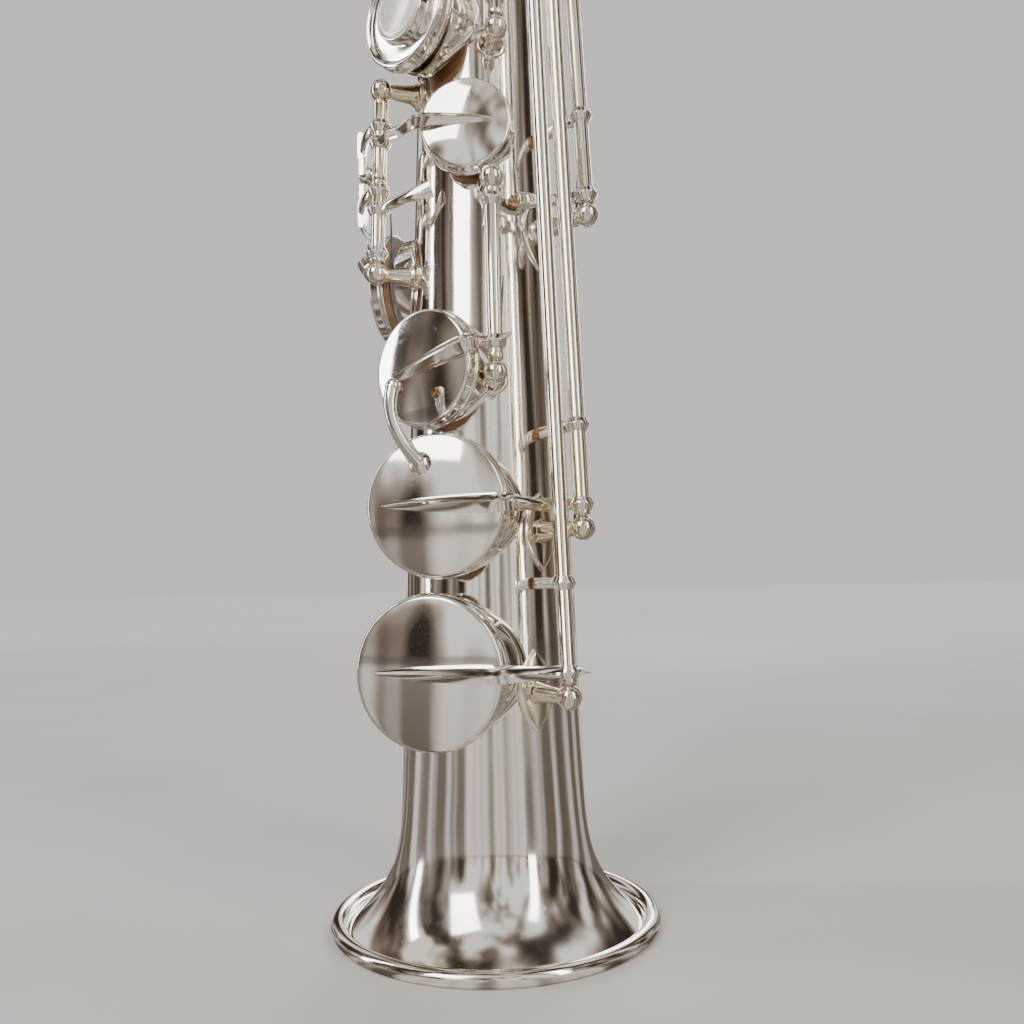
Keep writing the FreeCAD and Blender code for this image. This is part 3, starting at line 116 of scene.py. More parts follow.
class Shader:
    """A node material under construction, with its texture space in metres."""

    def __init__(self, name: str) -> None:
        """Starts a material of that name."""
        self.material = bpy.data.materials.new(name)
        self.material.use_nodes = True
        self.tree = self.material.node_tree
        self.surface = self.tree.nodes["Principled BSDF"]
        self.place = self.tree.nodes.new("ShaderNodeTexCoord").outputs["Object"]

    def feed(self, socket: Socket, value: Value) -> None:
        """Links a socket to another one, or sets its value.

        Args:
            socket: the input.
            value: an output socket, a number, or a colour or vector.
        """
        if isinstance(value, bpy.types.NodeSocket):
            self.tree.links.new(value, socket)
        elif isinstance(value, tuple) and len(value) == 3 and socket.type == "RGBA":
            socket.default_value = (*value, 1.0)
        else:
            socket.default_value = value

    def math(self, operation: str, first: Value, second: Value = 0.0) -> Socket:
        """Adds a clamped sum of two values.

        Args:
            operation: name of the operation, such as MULTIPLY.
            first: first value.
            second: second value.

        Returns:
            The result.
        """
        node = self.tree.nodes.new("ShaderNodeMath")
        node.operation = operation
        node.use_clamp = True
        self.feed(node.inputs[0], first)
        self.feed(node.inputs[1], second)
        return node.outputs[0]

    def measure(self, operation: str, output: str) -> Socket:
        """Reads the texture space as a direction or as a distance from its origin.

        Args:
            operation: NORMALIZE for the direction, or LENGTH for the distance.
            output: name of the node's output.

        Returns:
            The direction or the distance.
        """
        node = self.tree.nodes.new("ShaderNodeVectorMath")
        node.operation = operation
        self.feed(node.inputs[0], self.place)
        return node.outputs[output]

    def stretched(self, scale: tuple[float, float, float], tilt: tuple[float, float, float]) -> Socket:
        """Texture space that is turned and then scaled.

        Args:
            scale: features per metre along each axis.
            tilt: turn of the grain, in radians.

        Returns:
            The new space.
        """
        turn = self.tree.nodes.new("ShaderNodeMapping")
        turn.inputs["Rotation"].default_value = tilt
        self.feed(turn.inputs["Vector"], self.place)
        size = self.tree.nodes.new("ShaderNodeMapping")
        size.inputs["Scale"].default_value = scale
        self.feed(size.inputs["Vector"], turn.outputs[0])
        return size.outputs[0]

    def noise(self, scale: float, detail: float = 3.0, space: Optional[Socket] = None,
              twist: float = 0.0) -> Socket:
        """Cloudy variation.

        Args:
            scale: features per unit of the space.
            detail: octaves.
            space: texture space, or None for metres.
            twist: distortion.

        Returns:
            A value from 0 to 1.
        """
        node = self.tree.nodes.new("ShaderNodeTexNoise")
        node.inputs["Scale"].default_value = scale
        node.inputs["Detail"].default_value = detail
        node.inputs["Distortion"].default_value = twist
        self.feed(node.inputs["Vector"], space or self.place)
        return node.outputs["Fac"]

    def cells(self, scale: float, space: Optional[Socket] = None) -> Socket:
        """Distance to the nearest of many scattered points.

        Args:
            scale: points per unit of the space.
            space: texture space, or None for metres.

        Returns:
            The distance.
        """
        node = self.tree.nodes.new("ShaderNodeTexVoronoi")
        node.inputs["Scale"].default_value = scale
        self.feed(node.inputs["Vector"], space or self.place)
        return node.outputs["Distance"]

    def ramp(self, value: Socket, low: float, high: float, first: float = 0.0, last: float = 1.0) -> Socket:
        """Spreads part of a value's range, with soft ends.

        Args:
            value: value to spread.
            low: where the spread starts.
            high: where it ends.
            first: result at low.
            last: result at high.

        Returns:
            The spread value.
        """
        node = self.tree.nodes.new("ShaderNodeMapRange")
        node.interpolation_type = "SMOOTHSTEP"
        for name, number in (("From Min", low), ("From Max", high), ("To Min", first), ("To Max", last)):
            node.inputs[name].default_value = number
        self.feed(node.inputs["Value"], value)
        return node.outputs["Result"]

    def mix(self, share: Value, first: Value, second: Value) -> Socket:
        """Blend of two colours.

        Args:
            share: part of the second colour.
            first: first colour.
            second: second colour.

        Returns:
            The blended colour.
        """
        node = self.tree.nodes.new("ShaderNodeMix")
        node.data_type = "RGBA"
        self.feed(node.inputs["Factor"], share)
        self.feed(node.inputs[6], first)
        self.feed(node.inputs[7], second)
        return node.outputs[2]

    def relief(self, height: Socket, depth: float, strength: float = 1.0,
               over: Optional[Socket] = None) -> Socket:
        """Small relief of the surface.

        Args:
            height: height from 0 to 1.
            depth: depth of the relief in metres.
            strength: how much of it shows.
            over: relief that this one lies on.

        Returns:
            The surface's normal.
        """
        node = self.tree.nodes.new("ShaderNodeBump")
        node.inputs["Strength"].default_value = strength
        node.inputs["Distance"].default_value = depth
        self.feed(node.inputs["Height"], height)
        if over is not None:
            self.feed(node.inputs["Normal"], over)
        return node.outputs["Normal"]

    def dress(self, **inputs: Value) -> bpy.types.Material:
        """Sets the surface's inputs, named with _ for a space.

        Args:
            inputs: a value or socket for each input.

        Returns:
            The finished material.
        """
        for name, value in inputs.items():
            self.feed(self.surface.inputs[name.replace("_", " ")], value)
        return self.material


@dataclass(frozen=True)
class Finish:
    """A surface finish, made once and shared by the pieces that have it."""

    name: str
    slot: str

    def material(self) -> bpy.types.Material:
        """The finish's material, built the first time that it is asked for."""
        return bpy.data.materials.get(self.name) or self.build(Shader(self.name))

    def build(self, shader: Shader) -> bpy.types.Material:
        """Builds the material's nodes.

        Args:
            shader: the empty material.

        Returns:
            The finished material.
        """
        raise NotImplementedError


@dataclass(frozen=True)
class SilverPlate(Finish):
    """Old polished silver plate: wavy, finely scratched, and yellowed in patches."""

    clean: tuple[float, float, float] = (0.93, 0.915, 0.885)
    yellowed: tuple[float, float, float] = (0.84, 0.74, 0.54)
    dull: tuple[float, float, float] = (0.55, 0.48, 0.38)
    tarnish: float = 0.42
    polish: float = 0.06
    wave_depth: float = 0.00022

    def build(self, shader: Shader) -> bpy.types.Material:
        """Builds the material's nodes.

        Args:
            shader: the empty material.

        Returns:
            The finished material.
        """
        patches = shader.ramp(shader.noise(22.0, 5.0, twist=0.6), 0.42, 0.72, 0.0, self.tarnish)
        spots = shader.ramp(shader.noise(420.0, 4.0), 0.66, 0.78, 0.0, 0.5 * self.tarnish)
        freckles = shader.ramp(shader.cells(230.0), 0.05, 0.12, 0.35, 0.0)
        speckled = shader.math("MULTIPLY", freckles, shader.ramp(shader.noise(60.0, 2.0), 0.55, 0.7))
        hairlines = self.hairlines(shader)
        colour = shader.mix(patches, self.clean, self.yellowed)
        colour = shader.mix(shader.math("ADD", spots, speckled), colour, self.dull)
        haze = shader.ramp(shader.noise(45.0, 6.0, twist=0.4), 0.4, 0.75, self.polish, self.polish + 0.08)
        rough = shader.math("ADD", haze, shader.math("MULTIPLY", hairlines, 0.09))
        rough = shader.math("ADD", rough, shader.math("MULTIPLY", spots, 0.5))
        waves = shader.relief(shader.noise(55.0, 1.5), self.wave_depth, 0.55)
        normal = shader.relief(hairlines, 0.000004, 0.3, waves)
        return shader.dress(Base_Color=colour, Metallic=1.0, Roughness=rough, Normal=normal)

    def hairlines(self, shader: Shader) -> Socket:
        """Fine polishing scratches in three directions.

        Args:
            shader: the material.

        Returns:
            1 on a scratch and 0 elsewhere.
        """
        total = None
        for tilt, threshold in (((0.3, 0.5, 0.2), 0.70), ((1.3, 0.2, 0.9), 0.71), ((0.7, 1.5, 0.4), 0.72)):
            space = shader.stretched((3800.0, 3800.0, 55.0), tilt)
            line = shader.ramp(shader.noise(1.0, 1.0, space), threshold, threshold + 0.05)
            total = line if total is None else shader.math("ADD", total, line)
        return total


@dataclass(frozen=True)
class PadLeather(Finish):
    """Tan leather over felt, with pores, creases and a darker worn face."""

    light: tuple[float, float, float] = (0.46, 0.27, 0.14)
    dark: tuple[float, float, float] = (0.22, 0.11, 0.055)

    def build(self, shader: Shader) -> bpy.types.Material:
        """Builds the material's nodes.

        Args:
            shader: the empty material.

        Returns:
            The finished material.
        """
        worn = shader.ramp(shader.noise(120.0, 6.0, twist=1.2), 0.3, 0.7)
        pores = shader.ramp(shader.cells(1900.0), 0.0, 0.35)
        colour = shader.mix(worn, self.dark, self.light)
        colour = shader.mix(shader.ramp(pores, 0.0, 1.0, 0.35, 0.0), colour, self.dark)
        grain = shader.relief(pores, 0.00006, 0.6)
        normal = shader.relief(shader.noise(260.0, 4.0, twist=2.0), 0.00012, 0.5, grain)
        rough = shader.ramp(worn, 0.0, 1.0, 0.42, 0.6)
        return shader.dress(Base_Color=colour, Roughness=rough, Normal=normal, Sheen_Weight=0.15)


@dataclass(frozen=True)
class Cork(Finish):
    """Natural cork with dark flecks and open grain."""

    light: tuple[float, float, float] = (0.60, 0.37, 0.20)
    dark: tuple[float, float, float] = (0.20, 0.09, 0.04)

    def build(self, shader: Shader) -> bpy.types.Material:
        """Builds the material's nodes.

        Args:
            shader: the empty material.

        Returns:
            The finished material.
        """
        grain = shader.ramp(shader.noise(900.0, 5.0, twist=0.5), 0.35, 0.7)
        flecks = shader.ramp(shader.noise(1600.0, 2.0), 0.62, 0.7)
        colour = shader.mix(grain, self.dark, self.light)
        colour = shader.mix(flecks, colour, self.dark)
        normal = shader.relief(grain, 0.00015, 0.8)
        return shader.dress(Base_Color=colour, Roughness=shader.ramp(grain, 0.0, 1.0, 0.95, 0.75),
                            Normal=normal)


@dataclass(frozen=True)
class Pearl(Finish):
    """Mother of pearl with drifting pink, green and cream layers."""

    cream: tuple[float, float, float] = (0.86, 0.83, 0.76)
    rose: tuple[float, float, float] = (0.83, 0.70, 0.70)
    green: tuple[float, float, float] = (0.66, 0.78, 0.72)

    def build(self, shader: Shader) -> bpy.types.Material:
        """Builds the material's nodes.

        Args:
            shader: the empty material.

        Returns:
            The finished material.
        """
        layers = shader.noise(150.0, 3.0, shader.stretched((1.0, 2.6, 1.4), (0.5, 0.9, 0.3)), 2.5)
        colour = shader.mix(shader.ramp(layers, 0.35, 0.5), self.rose, self.cream)
        colour = shader.mix(shader.ramp(layers, 0.5, 0.65), colour, self.green)
        sheen = shader.ramp(layers, 0.3, 0.7, 0.14, 0.3)
        normal = shader.relief(layers, 0.00008, 0.35)
        return shader.dress(
            Base_Color=colour, Roughness=sheen, Normal=normal, Coat_Weight=0.8, Coat_Roughness=0.06,
            Metallic=0.15,
        )


@dataclass(frozen=True)
class Steel(Finish):
    """Steel with fine turning marks and a little oxide."""

    bright: tuple[float, float, float] = (0.58, 0.57, 0.55)
    oxide: tuple[float, float, float] = (0.30, 0.27, 0.24)
    polish: float = 0.22

    def build(self, shader: Shader) -> bpy.types.Material:
        """Builds the material's nodes.

        Args:
            shader: the empty material.

        Returns:
            The finished material.
        """
        marks = shader.noise(1.0, 2.0, shader.stretched((150.0, 150.0, 3000.0), (0.0, 0.0, 0.0)))
        stain = shader.ramp(shader.noise(180.0, 4.0), 0.45, 0.75)
        colour = shader.mix(stain, self.bright, self.oxide)
        rough = shader.ramp(stain, 0.0, 1.0, self.polish, self.polish + 0.2)
        normal = shader.relief(marks, 0.00002, 0.4)
        return shader.dress(Base_Color=colour, Metallic=1.0, Roughness=rough, Normal=normal)


@dataclass(frozen=True)
class HardRubber(Finish):
    """Polished black hard rubber with a faint brown bloom and handling marks."""

    black: tuple[float, float, float] = (0.012, 0.011, 0.010)
    bloom: tuple[float, float, float] = (0.045, 0.034, 0.022)

    def build(self, shader: Shader) -> bpy.types.Material:
        """Builds the material's nodes.

        Args:
            shader: the empty material.

        Returns:
            The finished material.
        """
        cloud = shader.ramp(shader.noise(70.0, 5.0, twist=0.8), 0.4, 0.75)
        marks = shader.noise(1.0, 2.0, shader.stretched((2200.0, 2200.0, 120.0), (0.4, 0.2, 0.6)))
        scuffs = shader.ramp(marks, 0.6, 0.7)
        rough = shader.math("ADD", shader.ramp(cloud, 0.0, 1.0, 0.14, 0.26),
                            shader.math("MULTIPLY", scuffs, 0.15))
        normal = shader.relief(scuffs, 0.00001, 0.5)
        colour = shader.mix(cloud, self.black, self.bloom)
        return shader.dress(Base_Color=colour, Roughness=rough, Normal=normal)


@dataclass(frozen=True)
class Cane(Finish):
    """Scraped cane, with long fibres and darker vessels."""

    pale: tuple[float, float, float] = (0.78, 0.63, 0.36)
    fibre: tuple[float, float, float] = (0.52, 0.34, 0.14)

    def build(self, shader: Shader) -> bpy.types.Material:
        """Builds the material's nodes.

        Args:
            shader: the empty material.

        Returns:
            The finished material.
        """
        fibres = shader.noise(1.0, 4.0, shader.stretched((3200.0, 3200.0, 90.0), (0.0, 0.0, 0.0)))
        strands = shader.ramp(fibres, 0.4, 0.68)
        blotch = shader.ramp(shader.noise(90.0, 3.0), 0.5, 0.8, 0.0, 0.4)
        colour = shader.mix(shader.math("ADD", strands, blotch), self.pale, self.fibre)
        normal = shader.relief(strands, 0.00004, 0.6)
        return shader.dress(Base_Color=colour, Roughness=shader.ramp(strands, 0, 1, 0.45, 0.65),
                            Normal=normal)


@dataclass(frozen=True)
class StudioPaper(Finish):
    """Pale seamless paper with a faint tooth.

    Glossy rays see it with painted reflection streaks, dark brown and pale, that stand in for a room round
    it. Far off it fades into the pale surroundings:
    fade is the distance in metres at which that starts, and the one at which it ends.
    """

    pale: tuple[float, float, float] = (0.74, 0.72, 0.69)
    shade: tuple[float, float, float] = (0.70, 0.68, 0.65)
    # Painted dark reflection: the floor's colour in its dark streaks, seen only by glossy rays.
    painted_reflection_dark: tuple[float, float, float] = (0.10, 0.075, 0.055)
    unlit: tuple[float, float, float] = (0.0, 0.0, 0.0)
    fade: tuple[float, float] = (0.35, 1.7)

    def build(self, shader: Shader) -> bpy.types.Material:
        """Builds the material's nodes.

        Args:
            shader: the empty material.

        Returns:
            The finished material.
        """
        tooth = shader.noise(1400.0, 3.0)
        paper = shader.mix(shader.ramp(shader.noise(9.0, 3.0), 0.3, 0.7), self.pale, self.shade)
        # Painted reflection streaks: glossy rays see the floor dark brown and pale in bands round the origin,
        # while the camera sees it plain.
        painted_reflection_streaks = shader.ramp(shader.noise(STREAKS, 2.0, shader.measure("NORMALIZE", "Vector")), 0.44, 0.60)
        rays = shader.tree.nodes.new("ShaderNodeLightPath")
        colour = shader.mix(rays.outputs["Is Glossy Ray"], paper, shader.mix(painted_reflection_streaks, self.painted_reflection_dark, self.pale))
        distance = shader.ramp(shader.measure("LENGTH", "Value"), *self.fade)
        far = shader.math("MULTIPLY", distance, rays.outputs["Is Camera Ray"])
        return shader.dress(
            Base_Color=shader.mix(far, colour, self.unlit),
            Roughness=0.85,
            Normal=shader.relief(tooth, 0.00005, 0.3),
            Emission_Color=self.pale,
            Emission_Strength=far,
        )


SHELL_SILVER = SilverPlate("silver_shell", "silver")
KEY_SILVER = SilverPlate("silver_keys", "silver", tarnish=0.36, polish=0.055, wave_depth=0.00014)
ROD_SILVER = SilverPlate(
    "silver_rods", "silver", clean=(0.90, 0.86, 0.76), yellowed=(0.80, 0.68, 0.44), tarnish=0.75, polish=0.10,
    wave_depth=0.0001,
)
BORE_SILVER = SilverPlate(
    "silver_bore", "silver", clean=(0.70, 0.66, 0.58), yellowed=(0.50, 0.40, 0.26), tarnish=0.8, polish=0.22
)
LEATHER = PadLeather("pad_leather", "leather")
CORK = Cork("stop_cork", "cork")
PEARL = Pearl("touch_pearl", "pearl")
BLUED = Steel("blued_spring", "spring_steel", bright=(0.07, 0.09, 0.16), oxide=(0.04, 0.04, 0.06),
              polish=0.25)
STEEL = Steel("rod_steel", "rod_steel")
RUBBER = HardRubber("mouthpiece_rubber", "hard_rubber")
CANE = Cane("reed_cane", "cane")


# ------------------------------------------------------------ shapes


@dataclass(frozen=True)
class Taper:
    """The cone of the body and the neck."""

    low: float = 44.0
    top: float = 640.0
    base: float = 25.7
    tip: float = 6.2

    def radius(self, z: float) -> float:
        """Outer radius at that height."""
        return self.base + (z - self.low) / (self.top - self.low) * (self.tip - self.base)

    def spot(self, turn: float, off: float, z: float) -> Vector:
        """Point at a height above the surface."""
        return outward(turn) * (self.radius(z) + off) + UP * z


def outward(turn: float) -> Vector:
    """Unit vector out of the bore at that turn."""
    return Vector((math.sin(math.radians(turn)), -math.cos(math.radians(turn)), 0))


def along(turn: float) -> Vector:
    """Unit vector round the surface at that turn, towards growing turn."""
    return Vector((math.cos(math.radians(turn)), math.sin(math.radians(turn)), 0))


def turn_of(point: Vector) -> float:
    """Turn at which a point lies."""
    return math.degrees(math.atan2(point.x, -point.y))


TAPER = Taper()


def standing(turn: float, z: float, height: float = 0.0) -> Matrix:
    """Frame that stands out of the body.

    Args:
        turn: turn of the frame's axis.
        z: its height up the bore.
        height: distance of its origin from the bore's axis.

    Returns:
        A matrix with X round the body, Y up it, and Z outwards.
    """
    columns = (along(turn), UP, outward(turn), outward(turn) * height + UP * z)
    return Matrix([[column[row] for column in columns] for row in range(3)] + [[0, 0, 0, 1]])


def aimed(start: Vector, end: Vector) -> Matrix:
    """Frame at start whose Z points to end.

    Args:
        start: its origin.
        end: the point that it aims at.

    Returns:
        The frame.
    """
    return Matrix.Translation(start) @ (end - start).to_track_quat("Z", "Y").to_matrix().to_4x4()


def eased(points: Profile, radius: float, steps: int = 3) -> Profile:
    """Rounds the corners of a profile.

    Args:
        points: the profile's points.
        radius: how far from each corner the rounding starts.
        steps: pieces of each rounding.

    Returns:
        The rounded profile, with the same two ends.
    """
    out = [points[0]]
    for before, corner, after in zip(points, points[1:], points[2:]):
        a, b, c = Vector(before), Vector(corner), Vector(after)
        first = b + (a - b).normalized() * min(radius, (a - b).length * 0.45)
        last = b + (c - b).normalized() * min(radius, (c - b).length * 0.45)
        for k in range(steps + 1):
            t = k / steps
            out.append(tuple(first * (1 - t) ** 2 + b * (2 * t * (1 - t)) + last * t**2))
    return out + [points[-1]]


def bent(start: Vector, control: Vector, end: Vector, count: int = 9) -> Points:
    """Points of a curve drawn towards a control point.

    Args:
        start: first point.
        control: point that draws the curve.
        end: last point.
        count: number of points.

    Returns:
        The points.
    """
    shares = [k / (count - 1) for k in range(count)]
    return [start * (1 - t) ** 2 + control * (2 * t * (1 - t)) + end * t**2 for t in shares]


def flowing(stations: Sequence[Station], steps: int = 6) -> list[Station]:
    """Smooth run of stations through the given ones.

    Args:
        stations: (point, half width, half height) of each given station.
        steps: pieces between two given stations.

    Returns:
        The denser run.
    """
    rows = [Vector((*point, width, height)) for point, width, height in stations]
    out = []
    for i in range(len(rows) - 1):
        a, b, c, d = rows[max(i - 1, 0)], rows[i], rows[i + 1], rows[min(i + 2, len(rows) - 1)]
        for k in range(steps + (i == len(rows) - 2)):
            t = k / steps
            row = b * 2 + (c - a) * t + (a * 2 - b * 5 + c * 4 - d) * t**2 + (b * 3 - a - c * 3 + d) * t**3
            row = row * 0.5
            out.append((Vector(row[:3]), max(row[3], 0.05), max(row[4], 0.05)))
    return out


class Blank:
    """A mesh under construction, in millimetres."""

    def __init__(self) -> None:
        """Starts an empty mesh."""
        self.points: Points = []
        self.faces: list[tuple[int, ...]] = []

    def ring(self, points: Sequence[Vector]) -> list[int]:
        """Adds points and gives their numbers."""
        self.points.extend(points)
        return list(range(len(self.points) - len(points), len(self.points)))

    def bridge(self, first: list[int], second: list[int]) -> None:
        """Joins two closed rings, either of which may be a single point.

        Args:
            first: numbers of one ring.
            second: numbers of the next ring.
        """
        count = max(len(first), len(second))
        for k in range(count):
            n = (k + 1) % count
            corners = [first[k % len(first)], first[n % len(first)], second[n % len(second)],
                       second[k % len(second)]]
            face = tuple(dict.fromkeys(corners))
            if len(face) > 2:
                self.faces.append(face)

    def turned(self, profile: Profile, place: Matrix, segments: int = 48, ring: bool = False) -> None:
        """Turns a profile of (radius, height) about the Z axis of a frame.

        Args:
            profile: points of the profile, from the inside of one end to the inside of the other.
            place: the frame.
            segments: pieces round the axis.
            ring: True if the profile closes on itself.
        """
        angles = [2 * math.pi * k / segments for k in range(segments)]
        rings = []
        for r, h in profile:
            around = angles if r > 1e-6 else [0.0]
            rings.append(self.ring([place @ Vector((r * math.cos(a), r * math.sin(a), h)) for a in around]))
        for first, second in zip(rings, rings[1:] + (rings[:1] if ring else [])):
            self.bridge(first, second)

    def limb(self, stations: Sequence[Station], side: Vector, section: Section = Section.OVAL,
             steps: int = 6) -> None:
        """Arm that flows through stations and is closed at both ends.

        Args:
            stations: (point, half width along side, half height) along the arm.
            side: direction of the width.
            section: cross-section.
            steps: pieces between two stations.
        """
        rows = flowing(stations, steps)
        rings = []
        for i, (point, half_width, half_height) in enumerate(rows):
            run = (rows[min(i + 1, len(rows) - 1)][0] - rows[max(i - 1, 0)][0]).normalized()
            across = (side - run * side.dot(run)).normalized()
            lift = run.cross(across)
            if lift.dot(point - UP * point.z) < 0:
                lift = lift * -1
            outline = section.outline()
            rings.append(self.ring([point + across * (x * half_width) + lift * (y * half_height) for x,
                                    y in outline]))
        for first, second in zip(rings, rings[1:]):
            self.bridge(first, second)
        for end, row in ((rings[0], rows[0]), (rings[-1], rows[-1])):
            self.bridge(end, self.ring([row[0]]))

    def bar(self, start: Vector, end: Vector, radius: float, edge: float = 0.25, segments: int = 28) -> None:
        """Round bar with eased ends.

        Args:
            start: one end.
            end: the other end.
            radius: its radius.
            edge: size of the easing.
            segments: pieces round it.
        """
        length = (end - start).length
        self.turned(eased([(0, 0), (radius, 0), (radius, length), (0, length)], edge), aimed(start, end),
                    segments)

    def moved(self, change: Matrix) -> "Blank":
        """Moves everything drawn so far."""
        self.points = [change @ point for point in self.points]
        return self

    def add(self, other: "Blank") -> "Blank":
        """Takes in another mesh.

        Args:
            other: the mesh to take in.

        Returns:
            This mesh.
        """
        shift = len(self.points)
        self.points.extend(other.points)
        self.faces.extend(tuple(k + shift for k in face) for face in other.faces)
        return self

    def piece(
        self, name: str, finish: Finish, body: str = HORN, nodes: Sequence[str] = (), crease: float = 38.0
    ) -> bpy.types.Object:
        """Makes the object, dresses it and hangs it on its body.

        Args:
            name: name of the piece.
            finish: its finish.
            body: the body that it rides.
            nodes: frame nodes that it stands for.
            crease: edges sharper than this many degrees stay sharp.

        Returns:
            The object.
        """
        mesh = bpy.data.meshes.new(name)
        mesh.from_pydata([point * MM for point in self.points], [], self.faces)
        mesh.validate()
        bm = bmesh_of(mesh)
        bm.to_mesh(mesh)
        bm.free()
        mesh.polygons.foreach_set("use_smooth", [True] * len(mesh.polygons))
        mesh.set_sharp_from_angle(angle=math.radians(crease))
        mesh.materials.append(finish.material())
        piece = bpy.data.objects.new(name, mesh)
        bpy.context.scene.collection.objects.link(piece)
        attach(piece, body)
        if nodes:
            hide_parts(*nodes)
        log.info("%s: %d faces on %s", name, len(mesh.polygons), body)
        return piece


def bmesh_of(mesh: bpy.types.Mesh) -> bmesh.types.BMesh:
    """Copy of a mesh with all its faces turned outwards.

    Args:
        mesh: the mesh.

    Returns:
        The copy, which the caller frees.
    """
    bm = bmesh.new()
    bm.from_mesh(mesh)
    bmesh.ops.recalc_face_normals(bm, faces=bm.faces)
    return bm


# ------------------------------------------------------------ the keywork's lines


@dataclass(frozen=True)
class Hinge:
    """A rod between posts: each end is (turn, height above the body, height up the bore)."""

    low: tuple[float, float, float]
    high: tuple[float, float, float]
    middle_posts: tuple[float, ...] = ()
    leaf_foot: bool = False
    spring_length: float = 24.0
    spring_side: Facing = Facing.HIGHER
    spring_from_top: bool = False

    def start(self) -> Vector:
        """Lower end of the hinge line."""
        return TAPER.spot(*self.low)

    def end(self) -> Vector:
        """Upper end of the hinge line."""
        return TAPER.spot(*self.high)

    def direction(self) -> Vector:
        """Unit vector up the hinge line."""
        return (self.end() - self.start()).normalized()

    def at(self, z: float) -> Vector:
        """Point of the hinge line at height z."""
        start, end = self.start(), self.end()
        return start + (end - start) * ((z - start.z) / (end.z - start.z))

    def post_heights(self) -> tuple[float, ...]:
        """Heights of all its posts."""
        return (self.low[2], *self.middle_posts, self.high[2])


HINGES = {
    "low_b_flat": Hinge((79.0, 16.8, 66.5), (73.0, 15.6, 392.0), leaf_foot=True),
    "low_b": Hinge((87.4, 17.6, 109.0), (84.0, 15.6, 384.0), leaf_foot=True),
    "low_c_sharp_lever": Hinge((97.0, 18.4, 194.0), (95.0, 15.6, 376.0), leaf_foot=True),
    "low_c_sharp": Hinge((56.0, 9.0, 150.5), (56.0, 9.0, 204.0)),
    "right_little_finger": Hinge((-22.0, 11.3, 184.5), (-22.0, 11.3, 239.6), spring_length=14.0),
    "right_stack": Hinge((60.5, 8.0, 247.5), (60.5, 8.0, 364.0), middle_posts=(308.5,)),
    "left_stack": Hinge((60.5, 8.0, 371.5), (60.5, 8.0, 513.0), middle_posts=(402.0,), spring_length=12.0),
    "g_sharp": Hinge((82.0, 8.6, 399.5), (82.0, 8.6, 424.5), (), False, 12.0, Facing.LOWER, True),
    "palm_d": Hinge((108.0, 7.5, 514.0), (108.0, 7.5, 536.0), (), False, 10.0, Facing.HIGHER, True),
    "palm_e_flat": Hinge((108.0, 7.5, 543.0), (108.0, 7.5, 563.0), (), False, 9.0, Facing.HIGHER, True),
    "side_b_flat": Hinge((-84.0, 8.0, 334.0), (-84.0, 8.0, 461.0), (), False, 22.0, Facing.LOWER, True),
    "side_c": Hinge((-104.0, 9.4, 358.0), (-104.0, 9.4, 495.0), (), False, 22.0, Facing.LOWER, True),
    "octave_lever": Hinge((207.0, 6.6, 425.0), (207.0, 6.6, 458.0), (), False, 7.0, Facing.HIGHER, True),
    "octave_key": Hinge((207.0, 6.6, 465.0), (207.0, 6.6, 600.0), (), False, 22.0, Facing.LOWER, True),
}


@dataclass(frozen=True)
class Key:
    """A pad cup on a hinge, with the sizes of its cup."""

    name: str
    hinge: str
    z: float
    turn: float
    radius: float
    tube: tuple[float, float]
    open_angle: float
    stands_open: bool
    style: CupStyle = CupStyle.PLAIN
    arm_rise: float = 0.0
    under: str = ""
    pearl_radius: float = 0.0
    scale: float = 1.0
    pad_node: bool = False

    wall: float = 0.8
    pad_gap: float = 0.35
    pad_outside: float = 1.1
    pad_thickness: float = 3.4
    chimney_rise: float = 2.0
    cup_lap: float = 2.4

    def body(self) -> str:
        """Name of the body that the key is."""
        return self.name + "_body"

    def hole(self) -> float:
        """Outer radius of its chimney."""
        return self.radius - self.cup_lap * self.scale

    def line(self) -> Hinge:
        """Its hinge."""
        return HINGES[self.hinge]

    def side(self) -> int:
        """1 if the hinge is at a higher turn than the cup, and -1 if it is at a lower one."""
        return 1 if self.line().low[0] > self.turn else -1

    def base(self) -> float:
        """Distance from the bore's axis to the cup's lower edge, closed."""
        return TAPER.radius(self.z) + self.chimney_rise + self.pad_gap + self.pad_outside * self.scale

    def pocket(self) -> float:
        """Height of the pad's pocket above the cup's lower edge."""
        return (self.pad_thickness - self.pad_outside) * self.scale + 0.05

    def skirt(self) -> float:
        """Height of the cup's straight wall."""
        return max(3.6 * self.scale, self.pocket() + 0.4)

    def crown(self) -> float:
        """Height of the shoulder's top above the cup's lower edge."""
        return self.skirt() + 1.1 * self.scale

    def dome(self) -> float:
        """Rise of the dome above the shoulder."""
        return 1.3 * self.scale

    def top(self) -> float:
        """Distance from the bore's axis to the shoulder's top, closed."""
        return self.base() + self.crown()

    def place(self) -> Matrix:
        """Frame on the cup's lower edge, with the key closed."""
        return standing(self.turn, self.z, self.base())

    def rest(self) -> Matrix:
        """Turn from the closed key to where it stands by itself."""
        if not self.stands_open:
            return Matrix.Identity(4)
        start = self.line().start()
        axis = self.line().direction() * -self.side()
        turn = Matrix.Rotation(math.radians(-self.open_angle), 4, axis)
        return Matrix.Translation(start) @ turn @ Matrix.Translation(-start)


